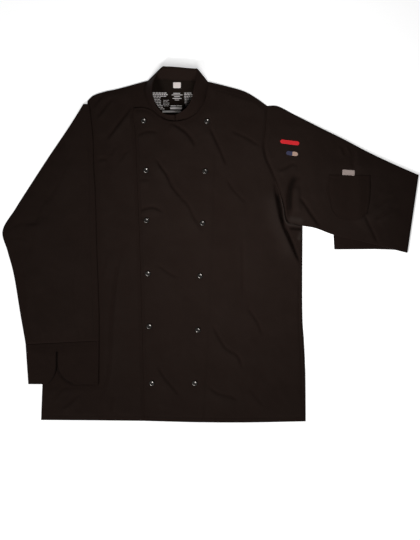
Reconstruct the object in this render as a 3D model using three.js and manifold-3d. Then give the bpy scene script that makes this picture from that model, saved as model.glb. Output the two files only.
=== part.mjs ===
import * as THREE from 'three';
import { mergeVertices } from 'three/addons/utils/BufferGeometryUtils.js';
import Module from 'manifold-3d';

// A double-breasted chef jacket that lies flat on a table with its front up, in millimetres.
// x runs across the jacket, y towards the collar and z up. The table is z = 0 and the origin
// is the middle of the jacket's outline. "Left" and "right" are the sides as seen from above,
// so the sleeve on the left is the wearer's right one.

// Driving dimensions
const CLOTH = 1.2;            // wall of each cloth piece
const SEAM = 0.3;             // air between two pieces that are sewn together or lie on each other
const LAYER = CLOTH + SEAM;   // what each cloth adds to the stack
const PANEL_PUFF = 1.6;       // how far a front panel stands clear in its middle
const SLEEVE_PUFF = 2.2;      // the same for a sleeve's upper cloth
const COLLAR_WALL = 1.6;      // the stand collar is stiffened, so it is thicker
const STUD_RADIUS = 6.2;
const STUD_HEIGHT = 2.4;
const TAG_WALL = 0.8;
const LYING = 0.6;            // air under what lies on a curved cloth
const COLLAR_BOW = 1.6;       // how far the collar's band bows up between its seam and its edge

// How finely the lines are cut into steps
const ARMHOLE_STEPS = 12;     // places along an armhole that the body and the sleeve share
const SIDE_STEPS = 13;        // the body's side below an armhole
const SHOULDER_STEPS = 8;
const NECK_STEPS = 12;
const BACK_TOP_STEPS = 6;     // each of the back's three upper lines
const BACK_SIDE_STEPS = 8;
const HEM_STEPS = 14;
const LEFT_SLEEVE_STATIONS = 23;
const FOREARM_STATIONS = 5;
const CUFF_STATIONS = 4;
const POCKET_STEPS = 6;
const ARC_STEPS = 6;          // each rounded corner of a cuff's notch
const COLLAR_STEPS = 44;
const STUD_SIDES = 14;

// Outlines. Columns: x, y
const LEFT_SHOULDER = [[-271, 316], [-259, 327], [-230, 337], [-210, 341], [-140, 360]];
const LEFT_ARMHOLE = [
  [-271, 316], [-272, 274], [-275, 221], [-292, 162], [-314, 91], [-325, 61], [-338, 46], [-359, 41],
];
const LEFT_SIDE = [[-359, 41], [-364, -166], [-370, -307], [-373, -386]];
const RIGHT_SHOULDER = [[-5, 358], [32, 349], [76, 336], [105, 319], [124, 305]];
const RIGHT_ARMHOLE = [
  [124, 305], [120, 252], [117, 221], [121, 195], [135, 161], [146, 133], [156, 101], [162, 74],
  [169, 54], [182, 44], [202, 41],
];
const RIGHT_SIDE = [[202, 41], [202, -166], [205, -210], [208, -278], [209, -389]];
const BACK_NECK = [[-140, 360], [-118, 363], [-76, 361], [-32, 360], [-5, 358]];
const OVER_EDGE = [
  [-169, 300], [-171, 285], [-166, 252], [-162, 151], [-158, 61], [-153, -89], [-146, -342], [-144, -388],
];
const OVER_NECK = [
  [-169, 300], [-149, 301], [-131, 295], [-113, 281], [-97, 273], [-81, 271], [-61, 273], [-45, 279],
  [-30, 290], [-12, 320], [-9, 344], [-5, 358],
];
const UNDER_EDGE = [[10, 298], [5, 208], [1, 54], [-4, -89], [-17, -342], [-20, -389]];
const UNDER_NECK = [
  [-140, 360], [-146, 336], [-142, 322], [-132, 300], [-115, 285], [-98, 275], [-81, 272], [-61, 274],
  [-34, 292], [-15, 316], [-3, 312], [10, 298],
];
const HEM_LEFT_END = [-373, -386];
const HEM_MIDDLE = [[-243, -387], [-144, -388], [-23, -391], [76, -391.5]];
const HEM_RIGHT_END = [209, -389];

// The sleeve on the left runs down beside and over the body. Columns: x, y
const LEFT_SLEEVE_OUTER = [
  [-280, 309], [-306, 267], [-358, 190], [-395, 133], [-430, 78], [-458, 29], [-447, -14], [-434, -62],
  [-419, -151], [-407, -220],
];
const LEFT_SLEEVE_INNER = [
  [-268, 309], [-264, 280], [-259, 234], [-258, 197], [-257, 164], [-254, 120], [-252, 54], [-251, 14],
  [-245, -166], [-245, -212],
];
const LEFT_CUFF = { outer: [[-407, -220.5], [-401, -307]], inner: [[-245, -212.5], [-246, -308]] };
const LEFT_CUFF_NOTCH = { x: -338, top: -232, fork: -272, hem: -308, left: -356, right: -300 };

// The sleeve on the right runs out to the elbow, where the forearm is folded back under it.
// Columns: x, y
const RIGHT_SLEEVE_TOP = [
  [124, 305], [145, 305], [184, 286], [241, 257], [290, 233], [345, 204], [400, 178], [455, 154],
];
const RIGHT_SLEEVE_UNDER = [[202, 41], [230, 36], [268, 22], [351, 2], [430, -18]];
const FOREARM = { outer: [[455, 154], [359, 147]], inner: [[430, -18], [414, -13], [359, -10]] };
const RIGHT_CUFF = { outer: [[358.6, 147], [263, 141]], inner: [[358.6, -10], [272, -11]] };
const RIGHT_CUFF_NOTCH = { y: 86, seam: 338, fork: 300, hem: 262, low: 66, high: 108 };
const RIGHT_RAMP = { start: 172, end: 236 };   // where that sleeve climbs on to its forearm

// The U-shaped patch pocket on the upper sleeve, and the tags. Columns: x, y
const POCKET = {
  left: [[258, 153], [253, 125], [258, 98], [265, 74]],
  right: [[351, 152], [351, 120], [349, 93], [344, 68]],
  hem: [[265, 74], [279, 57], [300, 52], [326, 54], [344, 68]],
};
const TAGS = [
  { name: 'neck_tag', on: 'back', x: -74, y: 350.5, width: 17, depth: 13, turn: 0, color: 0xe9e6df },
  { name: 'sleeve_tab_red', on: 'sleeve', x: 174, y: 224.5, width: 42, depth: 9, turn: -7, color: 0xb3202c },
  { name: 'sleeve_tab_small', on: 'sleeve', x: 179, y: 200, width: 26, depth: 9, turn: -8, color: 0x3a5f9a },
  { name: 'pocket_tab', on: 'pocket', x: 303, y: 158, width: 27, depth: 12, turn: -4, color: 0xb9b5ae },
];

// The press studs stand in two rows of six. Columns: x, y
const LEFT_STUDS = [[-147, 272], [-142, 163], [-141, 53], [-138, -64], [-135, -180], [-129, -305]];
const RIGHT_STUDS = [[-8, 271], [-12, 161], [-18, 47], [-23, -69], [-28, -188], [-35, -305]];

// The stand collar, from its left end at the front round the back to its right end. It leans in
// at the front and out at the back. Columns: seam x, seam y, what it stands on, edge x, edge y, rise
const COLLAR = [
  [-80, 273, 'over', -84, 284, 27], [-98, 277, 'over', -97, 286, 27],
  [-115, 288, 'over', -110, 294, 27], [-131, 303, 'under', -122, 311, 27],
  [-142, 322, 'under', -128, 331, 26], [-146, 338, 'under', -127, 350, 24],
  [-143, 350, 'under', -119, 371, 20], [-138, 359, 'under', -105, 390.4, 18],
  [-122, 362, 'back', -99, 390.6, 17], [-100, 363, 'back', -89, 390.4, 17],
  [-76, 361, 'back', -70, 389, 18], [-50, 360, 'back', -50, 387, 18],
  [-20, 360, 'back', -35, 386, 17], [-6, 357, 'over', -29, 385, 17],
  [-7, 346, 'over', -31, 367, 18], [-10, 333, 'over', -37, 342, 20],
  [-14, 317, 'over', -41, 323, 20], [-31, 291, 'over', -49, 306, 22],
  [-50, 279, 'over', -59, 297, 24], [-74, 272, 'over', -71, 287, 26],
];

// The largest folds. Columns: the points that a fold runs through, its height and half width
const OVER_FOLDS = [
  { path: [[-89, 266], [-62, 250], [-42, 227], [-34, 205]], height: 3, half: 14 },
  { path: [[-121, 188], [-96, 152], [-85, 126]], height: 2.6, half: 14 },
  { path: [[-80, 108], [-48, 83], [-17, 28]], height: 2.6, half: 14 },
  { path: [[-6, 250], [16, 223], [40, 173], [49, 128], [78, 84]], height: 3, half: 15 },
  { path: [[1, -172], [34, -230], [71, -276]], height: 2.8, half: 15 },
  { path: [[78, -137], [100, -168], [117, -203]], height: 2.4, half: 15 },
  { path: [[-8, -311], [22, -330], [62, -344]], height: 2.4, half: 15 },
  { path: [[150, 110], [163, 50], [188, -20]], height: 3, half: 15 },
];
const UNDER_FOLDS = [
  { path: [[-168, 322], [-200, 280], [-226, 233]], height: 2, half: 14 },
  { path: [[-204, -56], [-214, -170], [-218, -258], [-230, -340]], height: 2.4, half: 15 },
];
const LEFT_SLEEVE_FOLDS = [
  { path: [[-290, 214], [-336, 129], [-375, 78], [-388, 10], [-415, -56]], height: 2.6, half: 16 },
  { path: [[-283, 60], [-290, -60], [-300, -160]], height: 1.8, half: 18 },
];
const RIGHT_SLEEVE_FOLDS = [
  { path: [[188, 166], [168, 126], [168, 87], [172, 54]], height: 2.6, half: 15 },
  { path: [[197, 98], [221, 70], [245, 40]], height: 2.8, half: 14 },
  { path: [[344, 60], [373, 87], [406, 107]], height: 2.4, half: 14 },
];

const COLORS = { cloth: 0x1d1815, inner: 0x17120f, stud: 0x2a2a2c };
const STUD_FINISH = { roughness: 0.35, metalness: 0.9 };
const TAG_ROUGHNESS = 0.8;

// Smooth lines and places along them
function curve(rows) {
  return new THREE.CatmullRomCurve3(rows.map(([x, y]) => new THREE.Vector3(x, y, 0)), false, 'centripetal');
}

function along(rows, steps) {
  return curve(rows).getSpacedPoints(steps);
}

function chain(...runs) {
  return runs.flatMap((run, index) => (index === 0 ? run : run.slice(1)));
}

function smoothStep(value, from, to) {
  return THREE.MathUtils.smoothstep(value, from, to);
}

// The share of a boundary's length that each of its points has behind it
function shares(points) {
  const lengths = [0];
  for (let i = 1; i < points.length; i += 1) {
    lengths.push(lengths[i - 1] + points[i].distanceTo(points[i - 1]));
  }
  return lengths.map((length) => length / lengths[lengths.length - 1]);
}

// A grid of plan points that fills four boundaries. Rows run from the collar to the hem.
function fill(top, bottom, left, right) {
  const across = shares(top).map((share, i) => (share + shares(bottom)[i]) / 2);
  const down = shares(left).map((share, j) => (share + shares(right)[j]) / 2);
  const corner = { topLeft: top[0], topRight: top.at(-1), lowLeft: bottom[0], lowRight: bottom.at(-1) };
  return down.map((v, j) => across.map((u, i) => {
    const point = new THREE.Vector3();
    point.addScaledVector(top[i], 1 - v).addScaledVector(bottom[i], v);
    point.addScaledVector(left[j], 1 - u).addScaledVector(right[j], u);
    point.addScaledVector(corner.topLeft, -(1 - u) * (1 - v)).addScaledVector(corner.topRight, -u * (1 - v));
    point.addScaledVector(corner.lowLeft, -(1 - u) * v).addScaledVector(corner.lowRight, -u * v);
    return point;
  }));
}

// The height that a list of folds adds at a place
function foldHeight(folds, x, y) {
  let height = 0;
  for (const fold of folds) {
    let nearest = Infinity;
    for (let i = 1; i < fold.path.length; i += 1) {
      const [startX, startY] = fold.path[i - 1];
      const [endX, endY] = fold.path[i];
      const run = { x: endX - startX, y: endY - startY };
      const share = ((x - startX) * run.x + (y - startY) * run.y) / (run.x ** 2 + run.y ** 2);
      const held = THREE.MathUtils.clamp(share, 0, 1);
      nearest = Math.min(nearest, Math.hypot(x - startX - held * run.x, y - startY - held * run.y));
    }
    height += fold.height * Math.exp(-((nearest / fold.half) ** 2));
  }
  return height;
}

// One closed body from shared vertices, turned right side out
function solid(vertices, triangles) {
  const geometry = new THREE.BufferGeometry();
  geometry.setAttribute('position', new THREE.Float32BufferAttribute(vertices.flatMap((v) => v.toArray()), 3));
  let volume = 0;
  for (const [a, b, c] of triangles) {
    volume += vertices[a].dot(new THREE.Vector3().crossVectors(vertices[b], vertices[c]));
  }
  geometry.setIndex((volume > 0 ? triangles : triangles.map(([a, b, c]) => [a, c, b])).flat());
  geometry.computeVertexNormals();
  return geometry;
}

// A sheet between a lower and an upper grid of the same size
function sheetBetween(lower, upper) {
  const rows = lower.length;
  const columns = lower[0].length;
  const vertices = [...lower.flat(), ...upper.flat()];
  const at = (j, i, level) => level * rows * columns + j * columns + i;
  const triangles = [];
  for (let j = 1; j < rows; j += 1) {
    for (let i = 1; i < columns; i += 1) {
      triangles.push([at(j - 1, i - 1, 1), at(j, i - 1, 1), at(j, i, 1)]);
      triangles.push([at(j - 1, i - 1, 1), at(j, i, 1), at(j - 1, i, 1)]);
      triangles.push([at(j - 1, i - 1, 0), at(j, i, 0), at(j, i - 1, 0)]);
      triangles.push([at(j - 1, i - 1, 0), at(j - 1, i, 0), at(j, i, 0)]);
    }
  }
  const rim = [];
  for (let i = 0; i < columns - 1; i += 1) rim.push([0, i]);
  for (let j = 0; j < rows - 1; j += 1) rim.push([j, columns - 1]);
  for (let i = columns - 1; i > 0; i -= 1) rim.push([rows - 1, i]);
  for (let j = rows - 1; j > 0; j -= 1) rim.push([j, 0]);
  rim.forEach(([j, i], index) => {
    const [nextJ, nextI] = rim[(index + 1) % rim.length];
    triangles.push([at(j, i, 1), at(nextJ, nextI, 1), at(nextJ, nextI, 0)]);
    triangles.push([at(j, i, 1), at(nextJ, nextI, 0), at(j, i, 0)]);
  });
  return solid(vertices, triangles);
}

function raised(grid, height) {
  return grid.map((row) => row.map((p) => new THREE.Vector3(p.x, p.y, height(p.x, p.y))));
}

function sheet(grid, lowerHeight, wall) {
  return sheetBetween(raised(grid, lowerHeight), raised(grid, (x, y) => lowerHeight(x, y) + wall));
}

// The height of a faceted grid over a place, found in the facet that holds it
const ON_EDGE = -1e-6;   // a place on a facet's edge counts as inside it
function facetHeight(grid) {
  const facet = new THREE.Triangle();
  const weights = new THREE.Vector3();
  return (x, y) => {
    const place = new THREE.Vector3(x, y, 0);
    for (let j = 1; j < grid.length; j += 1) {
      for (let i = 1; i < grid[0].length; i += 1) {
        const corners = [grid[j - 1][i - 1], grid[j][i - 1], grid[j][i], grid[j - 1][i]];
        for (const [a, b, c] of [[0, 1, 2], [0, 2, 3]]) {
          const flat = [corners[a], corners[b], corners[c]].map((p) => new THREE.Vector3(p.x, p.y, 0));
          facet.set(...flat);
          if (!facet.getBarycoord(place, weights)) continue;
          if (Math.min(weights.x, weights.y, weights.z) < ON_EDGE) continue;
          return weights.x * corners[a].z + weights.y * corners[b].z + weights.z * corners[c].z;
        }
      }
    }
    return 0;
  };
}

// A flattened tube with open ends. Each section has its plan points, the way in which its cloths
// are stacked from the inner one to the outer one, and how far the outer one stands clear.
function flatTube(sections) {
  const loops = sections.map(({ points, stack, clear }) => {
    const last = points.length - 1;
    const inset = points.map((p, i) => {
      const run = points[Math.min(i + 1, last)].clone().sub(points[Math.max(i - 1, 0)]);
      return p.clone().add(run.setLength(1).multiplyScalar(CLOTH * (1 - 2 * i / last)));
    });
    const raise = (from, i, height) => from[i].clone().addScaledVector(stack, height);
    const order = points.map((p, i) => i);
    const back = [...order].reverse();
    const reach = (i) => LAYER + clear(i / last);
    return {
      outer: [...order.map((i) => raise(points, i, 0)), ...back.map((i) => raise(points, i, reach(i) + CLOTH))],
      inner: [...order.map((i) => raise(inset, i, CLOTH)), ...back.map((i) => raise(inset, i, reach(i)))],
    };
  });
  const size = loops[0].outer.length;
  const half = size / 2;
  const vertices = [...loops.flatMap((loop) => loop.outer), ...loops.flatMap((loop) => loop.inner)];
  const at = (j, k, wall) => wall * loops.length * size + j * size + (k % size);
  const triangles = [];
  for (let j = 1; j < loops.length; j += 1) {
    for (let k = 0; k < size; k += 1) {
      for (const wall of [0, 1]) {
        const [a, b] = [at(j - 1, k, wall), at(j - 1, k + 1, wall)];
        const [c, d] = [at(j, k + 1, wall), at(j, k, wall)];
        const pair = k < half - 1 ? [[a, b, c], [a, c, d]] : [[a, b, d], [b, c, d]];
        triangles.push(...(wall === 0 ? pair : pair.map(([p, q, r]) => [p, r, q])));
      }
    }
  }
  for (let k = 0; k < size; k += 1) {
    for (const [j, turned] of [[0, true], [loops.length - 1, false]]) {
      const [a, b, c, d] = [at(j, k, 0), at(j, k + 1, 0), at(j, k + 1, 1), at(j, k, 1)];
      const pair = [[a, b, c], [a, c, d]];
      triangles.push(...(turned ? pair.map(([p, q, r]) => [p, r, q]) : pair));
    }
  }
  const top = loops.map((loop) => loop.outer.slice(half).reverse());
  return { geometry: solid(vertices, triangles), top };
}

const group = new THREE.Group();

function add(name, geometry, color, roughness = 0.9, metalness = 0) {
  const material = new THREE.MeshStandardMaterial({ color, roughness, metalness });
  const mesh = new THREE.Mesh(geometry, material);
  mesh.name = name;
  group.add(mesh);
  return mesh;
}

// Back panel: one flat cloth with the whole body's outline
const leftArmhole = along(LEFT_ARMHOLE, ARMHOLE_STEPS);
const rightArmhole = along(RIGHT_ARMHOLE, ARMHOLE_STEPS);
const leftSide = along(LEFT_SIDE, BACK_SIDE_STEPS);
const rightSide = along(RIGHT_SIDE, SIDE_STEPS);
const hem = along([HEM_LEFT_END, ...HEM_MIDDLE, HEM_RIGHT_END], HEM_STEPS);
const backTop = [LEFT_SHOULDER, BACK_NECK, RIGHT_SHOULDER].map((rows) => along(rows, BACK_TOP_STEPS));
const backOutline = chain(
  ...backTop, rightArmhole, rightSide,
  [...hem].reverse(), [...leftSide].reverse(), [...leftArmhole].reverse().slice(0, -1),
);
const backShape = new THREE.Shape(backOutline.map((p) => new THREE.Vector2(p.x, p.y)));
add('back_panel', new THREE.ExtrudeGeometry(backShape, { depth: CLOTH, bevelEnabled: false }), COLORS.inner);

// A boundary's x at a given y, for lines that run down the body
function edgeX(rows, y) {
  const clamped = THREE.MathUtils.clamp(y, rows.at(-1)[1], rows[0][1]);
  const index = Math.max(1, rows.findIndex((row) => row[1] <= clamped));
  const [upper, lower] = [rows[index - 1], rows[index]];
  const share = (upper[1] - clamped) / Math.max(upper[1] - lower[1], 1e-6);
  return THREE.MathUtils.lerp(upper[0], lower[0], share);
}
const bodyLeftX = (y) => edgeX([...LEFT_ARMHOLE, ...LEFT_SIDE.slice(1)], y);

// Under panel: the front on the left, which runs on beneath the over panel
const SHOW_FROM = { start: -228, end: -204 };   // it puffs up only between the sleeve and the over panel
const SHOW_TO = { start: 46, end: 22 };         // and is flat again this far before the over panel's edge
function underShows(x, y) {
  const edge = edgeX(OVER_EDGE.slice(1), y);
  const flat = smoothStep(x, edge - SHOW_TO.start, edge - SHOW_TO.end);
  return smoothStep(x, SHOW_FROM.start, SHOW_FROM.end) * (1 - flat);
}
const underBottom = (x, y) => LAYER + underShows(x, y) * (PANEL_PUFF / 2 + foldHeight(UNDER_FOLDS, x, y));
const underGrid = fill(
  chain(along(LEFT_SHOULDER, SHOULDER_STEPS), along(UNDER_NECK, NECK_STEPS)),
  along([HEM_LEFT_END, HEM_MIDDLE[0], HEM_MIDDLE[1], UNDER_EDGE.at(-1)], SHOULDER_STEPS + NECK_STEPS),
  chain(leftArmhole, along(LEFT_SIDE, SIDE_STEPS)),
  along(UNDER_EDGE, ARMHOLE_STEPS + SIDE_STEPS),
);
add('front_under', sheet(underGrid, underBottom, CLOTH), COLORS.cloth);

// Over panel: the front on the right, which laps over the other as far as its free edge
const OVER_NECK_STEPS = 14;
const LAP_FALL = { start: 24, end: 84 };   // how far past the hidden edge it comes down on the back
const OVER_CLEAR = { side: 60, hem: -320, chest: 225, neck: 290 };   // where it stands fully clear
const FOLD_CLEAR = 0.4;                    // the share of that at which a fold has its full height
function fromEdges(x, y) {
  const rightX = edgeX([...RIGHT_ARMHOLE, ...RIGHT_SIDE.slice(1)], y);
  const side = smoothStep(Math.min(rightX - x, x - edgeX(OVER_EDGE.slice(1), y)), 0, OVER_CLEAR.side);
  const low = smoothStep(y, HEM_RIGHT_END[1], OVER_CLEAR.hem);
  return side * low * (1 - smoothStep(y, OVER_CLEAR.chest, OVER_CLEAR.neck));
}
function overBottom(x, y) {
  const past = x - edgeX(UNDER_EDGE, y);
  const lap = LAYER * (1 - smoothStep(past, LAP_FALL.start, LAP_FALL.end));
  const soft = smoothStep(fromEdges(x, y), 0, FOLD_CLEAR);
  return LAYER + lap + PANEL_PUFF * fromEdges(x, y) + soft * foldHeight(OVER_FOLDS, x, y);
}
const overGrid = fill(
  chain(along(OVER_NECK, OVER_NECK_STEPS), along(RIGHT_SHOULDER, SHOULDER_STEPS)),
  along([OVER_EDGE.at(-1), HEM_MIDDLE[2], HEM_MIDDLE[3], HEM_RIGHT_END], OVER_NECK_STEPS + SHOULDER_STEPS),
  along(OVER_EDGE, ARMHOLE_STEPS + SIDE_STEPS),
  chain(rightArmhole, rightSide),
);
add('front_over', sheet(overGrid, overBottom, CLOTH), COLORS.cloth);
const overTop = facetHeight(raised(overGrid, (x, y) => overBottom(x, y) + CLOTH));

// Sections that run from one edge line to the other, straight across
function crossings(outer, inner, stations, cells) {
  const from = along(outer, stations);
  const to = along(inner, stations);
  return from.map((start, j) => Array.from(
    { length: cells + 1 },
    (_, i) => new THREE.Vector3().lerpVectors(start, to[j], i / cells),
  ));
}

// Left sleeve: a flattened tube that starts at the shoulder, bends at the elbow on the table and
// comes down over the body, where it lies on the under panel
const UP = new THREE.Vector3(0, 0, 1);
const BODY_CLIMB = { full: 26, none: 62 };   // how far outside the body the cloth starts to climb
const LEFT_CELLS = 12;
const PUFF_POWER = 0.8;       // below 1, so a tube is flatter on top and rounder at its edges
const FULL_WIDTH = 90;        // a tube that is narrower than this puffs up less
const LEFT_FOLD_GROWTH = 4;   // a fold reaches its height within a quarter of the width
const puff = (size, share) => size * Math.sin(Math.PI * share) ** PUFF_POWER;
const onBody = (x, y) => 2 * LAYER * (1 - smoothStep(bodyLeftX(y) - x, BODY_CLIMB.full, BODY_CLIMB.none));
function lyingLeft(rows, size, folds) {
  return rows.map((points) => {
    points.forEach((p) => p.setZ(onBody(p.x, p.y)));
    const narrow = Math.min(1, points[0].distanceTo(points.at(-1)) / FULL_WIDTH);
    const rise = (share) => {
      const p = points[Math.round(share * (points.length - 1))];
      const grown = Math.min(1, LEFT_FOLD_GROWTH * share, LEFT_FOLD_GROWTH * (1 - share));
      return grown * narrow * foldHeight(folds, p.x, p.y);
    };
    return { points, stack: UP, clear: (share) => puff(size * narrow, share) + rise(share) };
  });
}
const leftSections = crossings(LEFT_SLEEVE_OUTER, LEFT_SLEEVE_INNER, LEFT_SLEEVE_STATIONS, LEFT_CELLS);
const leftSleeve = flatTube(lyingLeft(leftSections, SLEEVE_PUFF, LEFT_SLEEVE_FOLDS));
add('sleeve_left', leftSleeve.geometry, COLORS.cloth);

// Cuffs are tubes too, with a notch that forks to two rounded corners, cut through one cloth
const SAME_PLACE = 1e-5;      // corners closer than this are one
const wasm = await Module();
wasm.setup();
function toManifold(geometry) {
  const bare = geometry.index ? geometry.clone() : mergeVertices(geometry.clone());
  bare.deleteAttribute('normal');
  bare.deleteAttribute('uv');
  const merged = mergeVertices(bare, SAME_PLACE);
  return new wasm.Manifold(new wasm.Mesh({
    numProp: 3,
    vertProperties: new Float32Array(merged.attributes.position.array),
    triVerts: new Uint32Array(merged.index.array),
  }));
}
function cut(geometry, cutter) {
  const mesh = toManifold(geometry).subtract(toManifold(cutter)).getMesh();
  const result = new THREE.BufferGeometry();
  result.setAttribute('position', new THREE.BufferAttribute(mesh.vertProperties, 3));
  result.setIndex(new THREE.BufferAttribute(mesh.triVerts, 1));
  result.computeVertexNormals();
  return result;
}

// A notch lies along +y in its own frame: a slit, then two arcs that open out to the hem
const SLIT = 1.2;
const NOTCH_PAST = 10;        // how far the cutter runs on past the hem
const NOTCH_DEPTH = 12;       // more than a cuff is thick, so the cutter goes right through its one cloth
function notchShape(slitTop, fork, hemY, lowX, highX) {
  const bend = (fork + 2 * hemY) / 3;
  const shape = new THREE.Shape();
  shape.moveTo(-SLIT / 2, slitTop);
  shape.lineTo(-SLIT / 2, fork);
  shape.quadraticCurveTo(-SLIT, bend, lowX, hemY);
  shape.lineTo(lowX, hemY - NOTCH_PAST);
  shape.lineTo(highX, hemY - NOTCH_PAST);
  shape.lineTo(highX, hemY);
  shape.quadraticCurveTo(SLIT, bend, SLIT / 2, fork);
  shape.lineTo(SLIT / 2, slitTop);
  return shape;
}
const leftCuffSections = crossings(LEFT_CUFF.outer, LEFT_CUFF.inner, CUFF_STATIONS, LEFT_CELLS);
const cuffLeftTube = flatTube(lyingLeft(leftCuffSections, SLEEVE_PUFF / 2, []));
const leftNotch = new THREE.ExtrudeGeometry(
  notchShape(
    LEFT_CUFF_NOTCH.top, LEFT_CUFF_NOTCH.fork, LEFT_CUFF_NOTCH.hem,
    LEFT_CUFF_NOTCH.left - LEFT_CUFF_NOTCH.x, LEFT_CUFF_NOTCH.right - LEFT_CUFF_NOTCH.x,
  ),
  { depth: NOTCH_DEPTH, bevelEnabled: false, curveSegments: ARC_STEPS },
);
leftNotch.translate(LEFT_CUFF_NOTCH.x, 0, 2 * LAYER + CLOTH + SEAM / 2);
add('cuff_left', cut(cuffLeftTube.geometry, leftNotch), COLORS.cloth);

// Right sleeve: a tube out to the elbow, round its fold and back beneath itself. Its sections are
// stacked away from the line of the fold, so they turn over with it.
const RIGHT_CELLS = ARMHOLE_STEPS;
const UPPER_STATIONS = 13;
const HINGE = 2 * LAYER - SEAM / 2;   // height of the fold's line, between the two tubes
const FOLD_ANGLES = [30, 60, 90, 120, 150];
const GAP_AT_HINGE = SEAM / 2;
const RIGHT_GROWTH = 5;               // puff and folds reach their height within a fifth of the sleeve
const END_PUFF = { least: 0.3, growth: 4 };   // the puff that is left at the elbow's fold
const TURN_PUFF = { share: 0.3, fall: 0.1 };  // and what the fold itself has of it, until it is flat
const climb = (x) => smoothStep(x, RIGHT_RAMP.start, RIGHT_RAMP.end);
const sleeveStart = rightArmhole.map((p) => p.clone().add(new THREE.Vector3(2 * SEAM, 2 * SEAM, 0)));
const foldLine = along([RIGHT_SLEEVE_TOP.at(-1), RIGHT_SLEEVE_UNDER.at(-1)], RIGHT_CELLS);
const upperTop = [sleeveStart[0], ...along(RIGHT_SLEEVE_TOP, UPPER_STATIONS).slice(1)];
const upperUnder = [sleeveStart.at(-1), ...along(RIGHT_SLEEVE_UNDER, UPPER_STATIONS).slice(1)];
const upperGrid = fill(upperTop, upperUnder, sleeveStart, foldLine);
const upperSections = upperTop.map((_, station) => {
  const points = upperGrid.map((row) => row[station]);
  points.forEach((p) => p.setZ(2 * LAYER * climb(p.x)));
  const share = station / UPPER_STATIONS;
  const size = SLEEVE_PUFF * Math.min(1, RIGHT_GROWTH * share, END_PUFF.least + END_PUFF.growth * (1 - share));
  const rise = (s) => {
    const p = points[Math.round(s * RIGHT_CELLS)];
    const grown = Math.min(1, RIGHT_GROWTH * s, RIGHT_GROWTH * (1 - s), RIGHT_GROWTH * share);
    return grown * foldHeight(RIGHT_SLEEVE_FOLDS, p.x, p.y);
  };
  return { points, stack: UP, clear: (s) => puff(size, s) + rise(s) };
});
const outward = new THREE.Vector3().subVectors(foldLine.at(-1), foldLine[0]).cross(UP).normalize().negate();
const hinged = (points, degrees) => {
  const angle = THREE.MathUtils.degToRad(degrees);
  const stack = outward.clone().multiplyScalar(Math.sin(angle)).addScaledVector(UP, Math.cos(angle));
  const left = Math.max(0, Math.cos(angle / 2) ** 2 - TURN_PUFF.fall) * (degrees < 180);
  return {
    points: points.map((p) => p.clone().setZ(HINGE).addScaledVector(stack, GAP_AT_HINGE)),
    stack,
    clear: (s) => puff(TURN_PUFF.share * SLEEVE_PUFF * left, s),
  };
};
const rightSleeve = flatTube([
  ...upperSections,
  ...FOLD_ANGLES.map((degrees) => hinged(foldLine, degrees)),
  ...crossings(FOREARM.outer, FOREARM.inner, FOREARM_STATIONS, RIGHT_CELLS).map((points) => hinged(points, 180)),
]);
add('sleeve_right', rightSleeve.geometry, COLORS.cloth);
const sleeveTop = facetHeight(rightSleeve.top.slice(0, UPPER_STATIONS + 1));

const cuffRightTube = flatTube(
  crossings(RIGHT_CUFF.outer, RIGHT_CUFF.inner, CUFF_STATIONS, RIGHT_CELLS).map((points) => hinged(points, 180)),
);
const rightNotch = new THREE.ExtrudeGeometry(
  notchShape(
    RIGHT_CUFF_NOTCH.seam, RIGHT_CUFF_NOTCH.fork, RIGHT_CUFF_NOTCH.hem,
    RIGHT_CUFF_NOTCH.low - RIGHT_CUFF_NOTCH.y, RIGHT_CUFF_NOTCH.high - RIGHT_CUFF_NOTCH.y,
  ),
  { depth: NOTCH_DEPTH, bevelEnabled: false, curveSegments: ARC_STEPS },
);
rightNotch.rotateZ(-Math.PI / 2);
rightNotch.translate(0, RIGHT_CUFF_NOTCH.y, CLOTH + SEAM / 2 - NOTCH_DEPTH);
add('cuff_right', cut(cuffRightTube.geometry, rightNotch), COLORS.cloth);

// Patch pocket, laid on the upper sleeve
const pocketGrid = fill(
  along([POCKET.left[0], POCKET.right[0]], POCKET_STEPS), along(POCKET.hem, POCKET_STEPS),
  along(POCKET.left, POCKET_STEPS), along(POCKET.right, POCKET_STEPS),
);
const pocketBottom = (x, y) => sleeveTop(x, y) + LYING;
add('sleeve_pocket', sheet(pocketGrid, pocketBottom, CLOTH), COLORS.cloth);
const pocketTop = facetHeight(raised(pocketGrid, (x, y) => pocketBottom(x, y) + CLOTH));

// Plain tags
const tagGround = {
  back: () => CLOTH + SEAM,
  sleeve: (x, y) => sleeveTop(x, y) + LYING,
  pocket: (x, y) => Math.max(pocketTop(x, y), sleeveTop(x, y) + LYING + CLOTH) + LYING,
};
const TAG_DOWN = [0.5, 0, -0.5];
const TAG_ACROSS = [-0.5, -0.25, 0, 0.25, 0.5];
for (const tag of TAGS) {
  const turn = THREE.MathUtils.degToRad(tag.turn);
  const rows = TAG_DOWN.map((down) => TAG_ACROSS.map((across) => (
    new THREE.Vector3(across * tag.width, down * tag.depth, 0)
      .applyAxisAngle(UP, turn).add(new THREE.Vector3(tag.x, tag.y, 0))
  )));
  add(tag.name, sheet(rows, tagGround[tag.on], TAG_WALL), tag.color, TAG_ROUGHNESS);
}

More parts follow.
